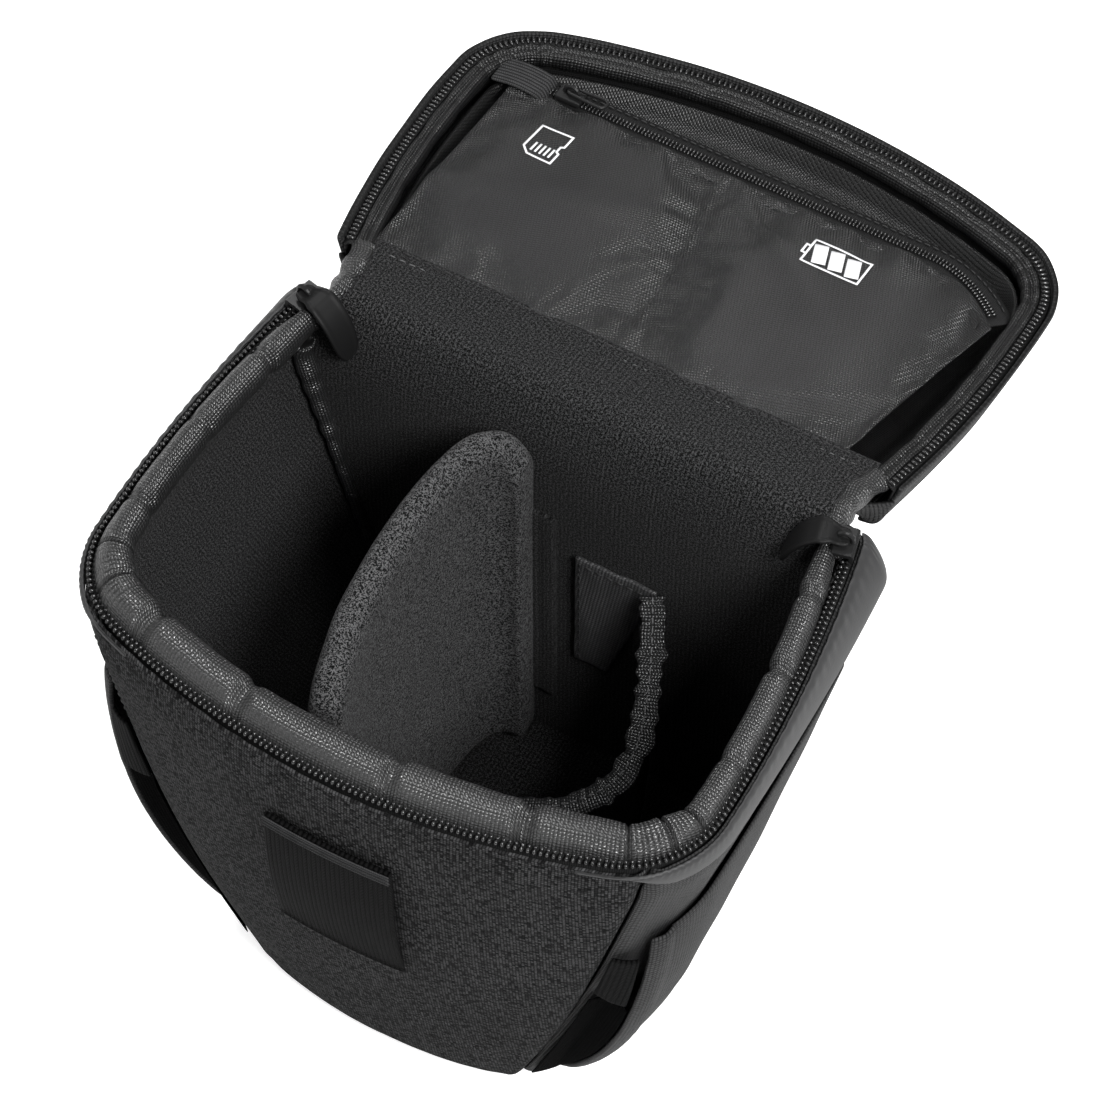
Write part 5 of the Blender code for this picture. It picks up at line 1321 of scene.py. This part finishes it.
def make_patch():
    def point(share, x):
        lift = 0.0021 + 0.0014 * wave(share) + 0.0005 * bump(share, 0.03, 0.02)
        return front_at(x, HEIGHT - mix(0.0900, 0.0302, share), lift)[0]

    rows = lay(spread(0, 1, 110), spread(PATCH_RIGHT, PATCH_LEFT, 22), point)
    cloth("front_webbing", rows, WEBBING, "tub", ["front_patch"], 0.0015)
    pairs = [front_at(x, HEIGHT - 0.0882, 0.0026) for x in spread(0.0168, -0.0196, 20)]
    stitches("patch_stitch_bottom", pairs, "tub", pitch=0.0026, long=0.0009)
    # The hem cords are real; their light webbing colour is painted highlight along their ridges.
    for name, drop in (("upper", 0.0305), ("middle", 0.0321), ("lower", 0.0339)):
        loops = []
        for x in spread(0.0174, -0.0202, 60):
            place, normal = front_at(x, HEIGHT - drop, 0.0028)
            loops.append([place + normal * (0.00045 * math.cos(a)) + UP * (0.00042 * math.sin(a))
                          for a in spread(0, 1.75 * math.pi, 7)])
        roll("patch_hem_" + name, loops, PATCH_EDGE_HIGHLIGHT, "tub")


POUCH_LOW = 0.012
POUCH_TOP = HEIGHT - 0.044
POUCH_STAND = 0.0074


def pouch_stand(up):
    """How far a side pocket's mouth stands off the wall."""
    return POUCH_STAND * wave(up)**0.8


def pouch_point(across, up, extra):
    height = mix(POUCH_LOW, HEIGHT - mix(0.034, 0.044, across**2), up)
    stand = 0.0004 + extra + pouch_stand(up) * across**0.6
    return wall(mix(BACK_STEPS + 1, SEAM - 1, across), height, -stand)


def make_side_pockets():
    def pouch(up, across):
        return pouch_point(across, up, 0.0012 + 0.0005 * rough(across * 6, up * 8, 50) * wave(up))

    def hem(up, share):
        thick = 0.0016 + 0.0010 * wave(share) + 0.0003 * rough(up * 30, share * 8, 51)
        return pouch_point(mix(0.89, 1.0, share), up, thick * mix(0.4, 1.0, ease(0.0, 0.12, up)))

    def gusset(up, share):
        stand = pouch_stand(up)
        sunk = mix(stand + 0.0006, 0.0014, share) - 0.0050 * wave(share) * stand / POUCH_STAND
        return wall(mix(SEAM - 1.0, SEAM - 0.05, share), mix(POUCH_LOW, POUCH_TOP, up), -max(0.0014, sunk))

    def keeper(drop, share):
        up = (POUCH_TOP - drop - POUCH_LOW) / (POUCH_TOP - POUCH_LOW)
        stand = pouch_stand(up) * (1 - share) + 0.0016 + 0.0004 * wave(share)
        return wall(mix(SEAM - 0.8, SEAM - 0.03, share), POUCH_TOP - drop, -stand)

    pouches = both_sides(lay(spread(0, 1, 40), spread(0, 0.91, 50), pouch))
    hems = both_sides(lay(spread(0, 1, 50), spread(0, 1, 8), hem))
    gussets = both_sides(lay(spread(0, 0.66, 26), spread(0, 1, 14), gusset))
    keepers = both_sides(lay(spread(0.032, 0.008, 16), spread(0, 1, 12), keeper))
    for name, _ in SIDES:
        cloth("side_pouch_" + name, pouches[name], BASKET, "tub", ["side_pocket_" + name], 0.0010,
              held="gathered")
        cloth("pouch_hem_" + name, hems[name], BASKET, "tub", ["pocket_hem_" + name], 0.0016)
        # The gusset closes the pocket's mouth; its near-black cloth is painted shade.
        cloth("pouch_gusset_" + name, gussets[name], POUCH_SHADE, "tub", (), 0.0005, 0.0)
        cloth("pouch_keeper_" + name, keepers[name], WEBBING, "tub", ["pocket_keeper_" + name], 0.0012)


def make_belt_loop():
    path = []
    for share in spread(0, 1, 48):
        off = min(max((min(share, 1 - share) - 0.08) / 0.16, 0), 1)
        forward = -(GAP + 0.0016 + 0.0062 * math.sin(math.pi / 2 * off))
        path.append((world(0, forward, mix(0.036, HEIGHT - 0.056, share)), BACKWARD))
    strip("loop_webbing", path, SIDEWAYS, 0.050, WEBBING, "tub", ["belt_loop"], 0.0016, 16)
    for name, height in (("low_a", 0.0373), ("low_b", 0.0397), ("high_a", 0.1063), ("high_b", 0.1087)):
        pairs = [(world(x, -0.0021, height), BACKWARD) for x in spread(-0.023, 0.023, 4)]
        stitches("loop_stitch_" + name, pairs, "tub")


def make_gussets():
    """The folded cloth that closes each corner beside the hinge, from the tub's roll to the lid's."""
    for name, side in SIDES:
        low = wall(PAD_START, HEIGHT, 0.0062)
        low = Vector((low.x * side, low.y, HEIGHT - 0.0052))
        flat = lid_flat(LID_START - 0.1, 0.004, 0.0070)
        high = lid(side * flat.x, flat.y, 0.0040)
        inner = Vector((side * 0.0715, HINGE.y - 0.001, HEIGHT + 0.0005))
        loops = []
        for share in spread(0, 1, 40):
            middle = low.lerp(inner, share).lerp(inner.lerp(high, share), share)
            run = ((inner - low) * (1 - share) + (high - inner) * share).normalized()
            aside = run.cross(UP).normalized()
            over = aside.cross(run).normalized()
            size = 1 + 0.10 * math.sin(share * 26) + 0.15 * rough(share * 9, side, 60)
            size *= mix(0.0034, 0.0036, share)
            loop = []
            for turn, (c, s) in enumerate(circle(12)):
                fold = size * (1 + 0.16 * math.sin(math.pi / 2 * turn + share * 7))
                loop.append(middle + aside * (fold * c) + over * (fold * s))
            loops.append(loop)
        start, end = ((side * 0.0715, HINGE.y + reach, HEIGHT) for reach in (-0.006, 0.006))
        roll("hinge_fold_" + name, loops, OXFORD, None, blend=("tub", "lid", start, end))


# A main zip pull: its reach from the pin with its width there, how far it bends over, and where its pin lies.
PULL_WIDTHS = ((-0.0012, 0.0040), (0.0, 0.0056), (0.002, 0.0060), (0.0040, 0.0072), (0.0055, 0.0084),
               (0.010, 0.0088), (0.015, 0.0086), (0.0185, 0.0078), (0.0205, 0.0058), (0.0215, 0.0026))
PULL_BEND = math.radians(56)
PULL_NECK = 0.0045
PULL_PIN = Vector((0.080875, 0.051504, 0.1689))
PULL_INWARD = Vector((-0.97173, -0.2361, 0))


def make_pulls():
    """The main zip's pulls: moulded tabs that hang from the sliders' arches and curve down inside the bag."""
    for name, side in SIDES:
        pin, inward = flip(PULL_PIN, side), flip(PULL_INWARD, side)
        across = UP.cross(inward).normalized()

        def point(share, aside):
            reach, width = curve_at(PULL_WIDTHS, share)
            angle = PULL_BEND * min(max(0.0, reach - PULL_NECK) / 0.0165, 1.05)
            out = min(reach, PULL_NECK) + 0.0115 * math.sin(angle) / math.sin(PULL_BEND)
            fall = 0.0150 * (1 - math.cos(angle)) / (1 - math.cos(PULL_BEND))
            over = (UP * math.cos(angle) + inward * math.sin(angle)).normalized()
            lift = 0.00035 * ease(0.70, 0.86, abs(aside)) - 0.0005 * ease(0.93, 1.0, abs(aside))
            lift += 0.00045 * bump(reach, 0.0070, 0.0010)
            middle = pin + inward * out + UP * (0.0013 * ease(0.001, 0.004, reach) - fall)
            return middle + across * (aside * width / 2) + over * lift

        rows = lay(spread(0, 1, 36), spread(-1, 1, 12), point)
        cloth("pull_tab_" + name, rows, RUBBER, "pull_" + name, ["zip_pull_" + name], 0.0011, 0.0)


def make_pocket_pull():
    """The lid pocket's pull: a long loop of wire with a small and a large end."""
    low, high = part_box("pocket_pull")
    length = high[0] - low[0] - 0.004
    middle = Vector((low[0], (low[1] + high[1]) / 2, (low[2] + high[2]) / 2))
    points = []
    for start, radius, turn in ((0.0012, 0.0013, math.pi / 2), (length - 0.0019, 0.0019, -math.pi / 2)):
        for a in spread(turn, turn + math.pi, 10):
            points.append(Vector((start + radius * math.cos(a), radius * math.sin(a))))
    loops = []
    for number, flat in enumerate(points + points[:1]):
        run = (points[(number + 1) % len(points)] - points[number - 1]).normalized()
        out = SIDEWAYS * run.y - LID_OUT * run.x
        place = middle + SIDEWAYS * flat.x + LID_OUT * flat.y
        loops.append([place + (out * c + LID_UP * s) * 0.0006 for c, s in circle(8)])
    roll("pocket_pull_loop", loops, METAL, "pocket_pull", ["pocket_pull"])


TAB_RADIUS = 0.0034


def make_ring_tabs():
    for name, _ in SIDES:
        low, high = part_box("ring_tab_" + name)
        axis = Vector(((low[0] + high[0]) / 2, high[1] - TAB_RADIUS, low[2] + TAB_RADIUS))
        path = []
        for height in spread(high[2], axis.z, 10)[:-1]:
            path.append((Vector((axis.x, axis.y + TAB_RADIUS * 0.2, height)), BACKWARD))
        for angle in spread(0, math.pi * 1.25, 16):
            normal = Vector((0, math.cos(angle), -math.sin(angle)))
            path.append((axis + normal * TAB_RADIUS, normal))
        width = high[0] - low[0]
        strip("tab_webbing_" + name, path, SIDEWAYS, width, WEBBING, "tub", ["ring_tab_" + name], 0.0014)


def keep_node(node):
    """A rigid metal part that stays, with rounded edges."""
    obj = frame["nodes"][node]
    obj.data.materials.clear()
    obj.data.materials.append(METAL)
    edge = obj.modifiers.new("rounded", "BEVEL")
    edge.width = 0.0003
    edge.segments = 2
    edge.limit_method = "ANGLE"


# Camera, floor and light.
FRAME = 1100
FOCAL = 4925.0
AZIMUTH, ELEVATION = math.radians(28.1), math.radians(55.5)
CAMERA_DISTANCE = 1.300
HINGE_IN_FRAME = (583.6, 397)
LAMPS = (
    ("key", (0.70, -0.35, 1.15), 0.45, 22.0),
    ("fill", (-1.1, -0.5, 0.8), 1.0, 4.0),
    ("rear", (-0.56, 0.82, 1.25), 0.26, 8.0),
    ("top", (0.35, 0.45, 1.4), 0.35, 4.0),
)
WHITE = (1, 1, 1, 1)


def linked(name, data):
    obj = bpy.data.objects.new(name, data)
    bpy.context.scene.collection.objects.link(obj)
    return obj


def show_camera(tree, plain, seen, output):
    """The camera sees one look and all other rays the other."""
    choice = add_node(tree, "ShaderNodeLightPath", "Is Camera Ray")
    mixed = add_node(tree, "ShaderNodeMixShader", 0, {0: choice, 1: plain, 2: seen})
    tree.links.new(mixed.socket, tree.nodes[output].inputs["Surface"])


def make_camera():
    data = bpy.data.cameras.new("camera")
    camera = linked("camera", data)
    flat = math.cos(ELEVATION)
    back = Vector((math.sin(AZIMUTH) * flat, -math.cos(AZIMUTH) * flat, math.sin(ELEVATION)))
    right = Vector((math.cos(AZIMUTH), math.sin(AZIMUTH), 0))
    camera.location = HINGE + back * CAMERA_DISTANCE
    aside, up = ((FRAME / 2 - place) / FOCAL for place in HINGE_IN_FRAME)
    look = right * aside - back.cross(right) * up - back
    camera.rotation_euler = look.to_track_quat("-Z", "Y").to_euler()
    data.sensor_width = 36
    data.lens = FOCAL * 36 / FRAME
    data.clip_start = 0.05
    data.clip_end = 20
    bpy.context.scene.camera = camera
    bpy.context.scene.view_settings.view_transform = "Standard"


def make_light():
    studio = bpy.data.worlds.new("studio")
    bpy.context.scene.world = studio
    studio.use_nodes = True
    tree = studio.node_tree
    light = tree.nodes["Background"]
    light.inputs["Color"].default_value = WHITE
    light.inputs["Strength"].default_value = 0.36
    seen = add_node(tree, "ShaderNodeBackground", 0, {"Color": WHITE, "Strength": 1.1})
    show_camera(tree, Field(tree, light.outputs[0]), seen, "World Output")
    for name, place, size, power in LAMPS:
        lamp = bpy.data.lights.new(name, "AREA")
        lamp.shape = "DISK"
        lamp.size = size
        lamp.energy = power
        obj = linked(name, lamp)
        obj.location = place
        obj.rotation_euler = (Vector((0, 0.03, 0.12)) - Vector(place)).to_track_quat("-Z", "Y").to_euler()


def make_floor():
    mesh = solid("floor", [(-4, -4, 0), (4, -4, 0), (4, 4, 0), (-4, 4, 0)], [(0, 1, 2, 3)])
    floor = linked("floor", mesh)
    material = bpy.data.materials.new("floor")
    material.use_nodes = True
    tree = material.node_tree
    surface = tree.nodes["Principled BSDF"]
    surface.inputs["Base Color"].default_value = (0.82, 0.82, 0.82, 1)
    surface.inputs["Roughness"].default_value = 0.9
    plain = Field(tree, surface.outputs[0])
    glow = add_node(tree, "ShaderNodeEmission", 0, {"Strength": 0.66})
    both = add_node(tree, "ShaderNodeAddShader", 0, {0: plain, 1: glow})
    show_camera(tree, plain, both, "Material Output")
    mesh.materials.append(material)


make_camera()
make_light()
make_floor()
make_panels()
make_trims()
make_tub_zip()
make_rim_roll()
make_lining()
make_back_velour()
make_corner_bindings()
make_lid_outside()
make_lid_lining()
make_lid_zip()
make_lid_roll()
pocket_surface = make_pocket()
make_small_zip()
make_prints(pocket_surface)
make_end_tab()
make_handle()
make_divider()
make_soft_divider()
make_patch()
make_side_pockets()
make_belt_loop()
make_gussets()
make_pulls()
make_pocket_pull()
make_ring_tabs()
for metal_node in ("zip_slider_right", "zip_slider_left", "pocket_slider", "strap_ring_right", "strap_ring_left"):
    keep_node(metal_node)
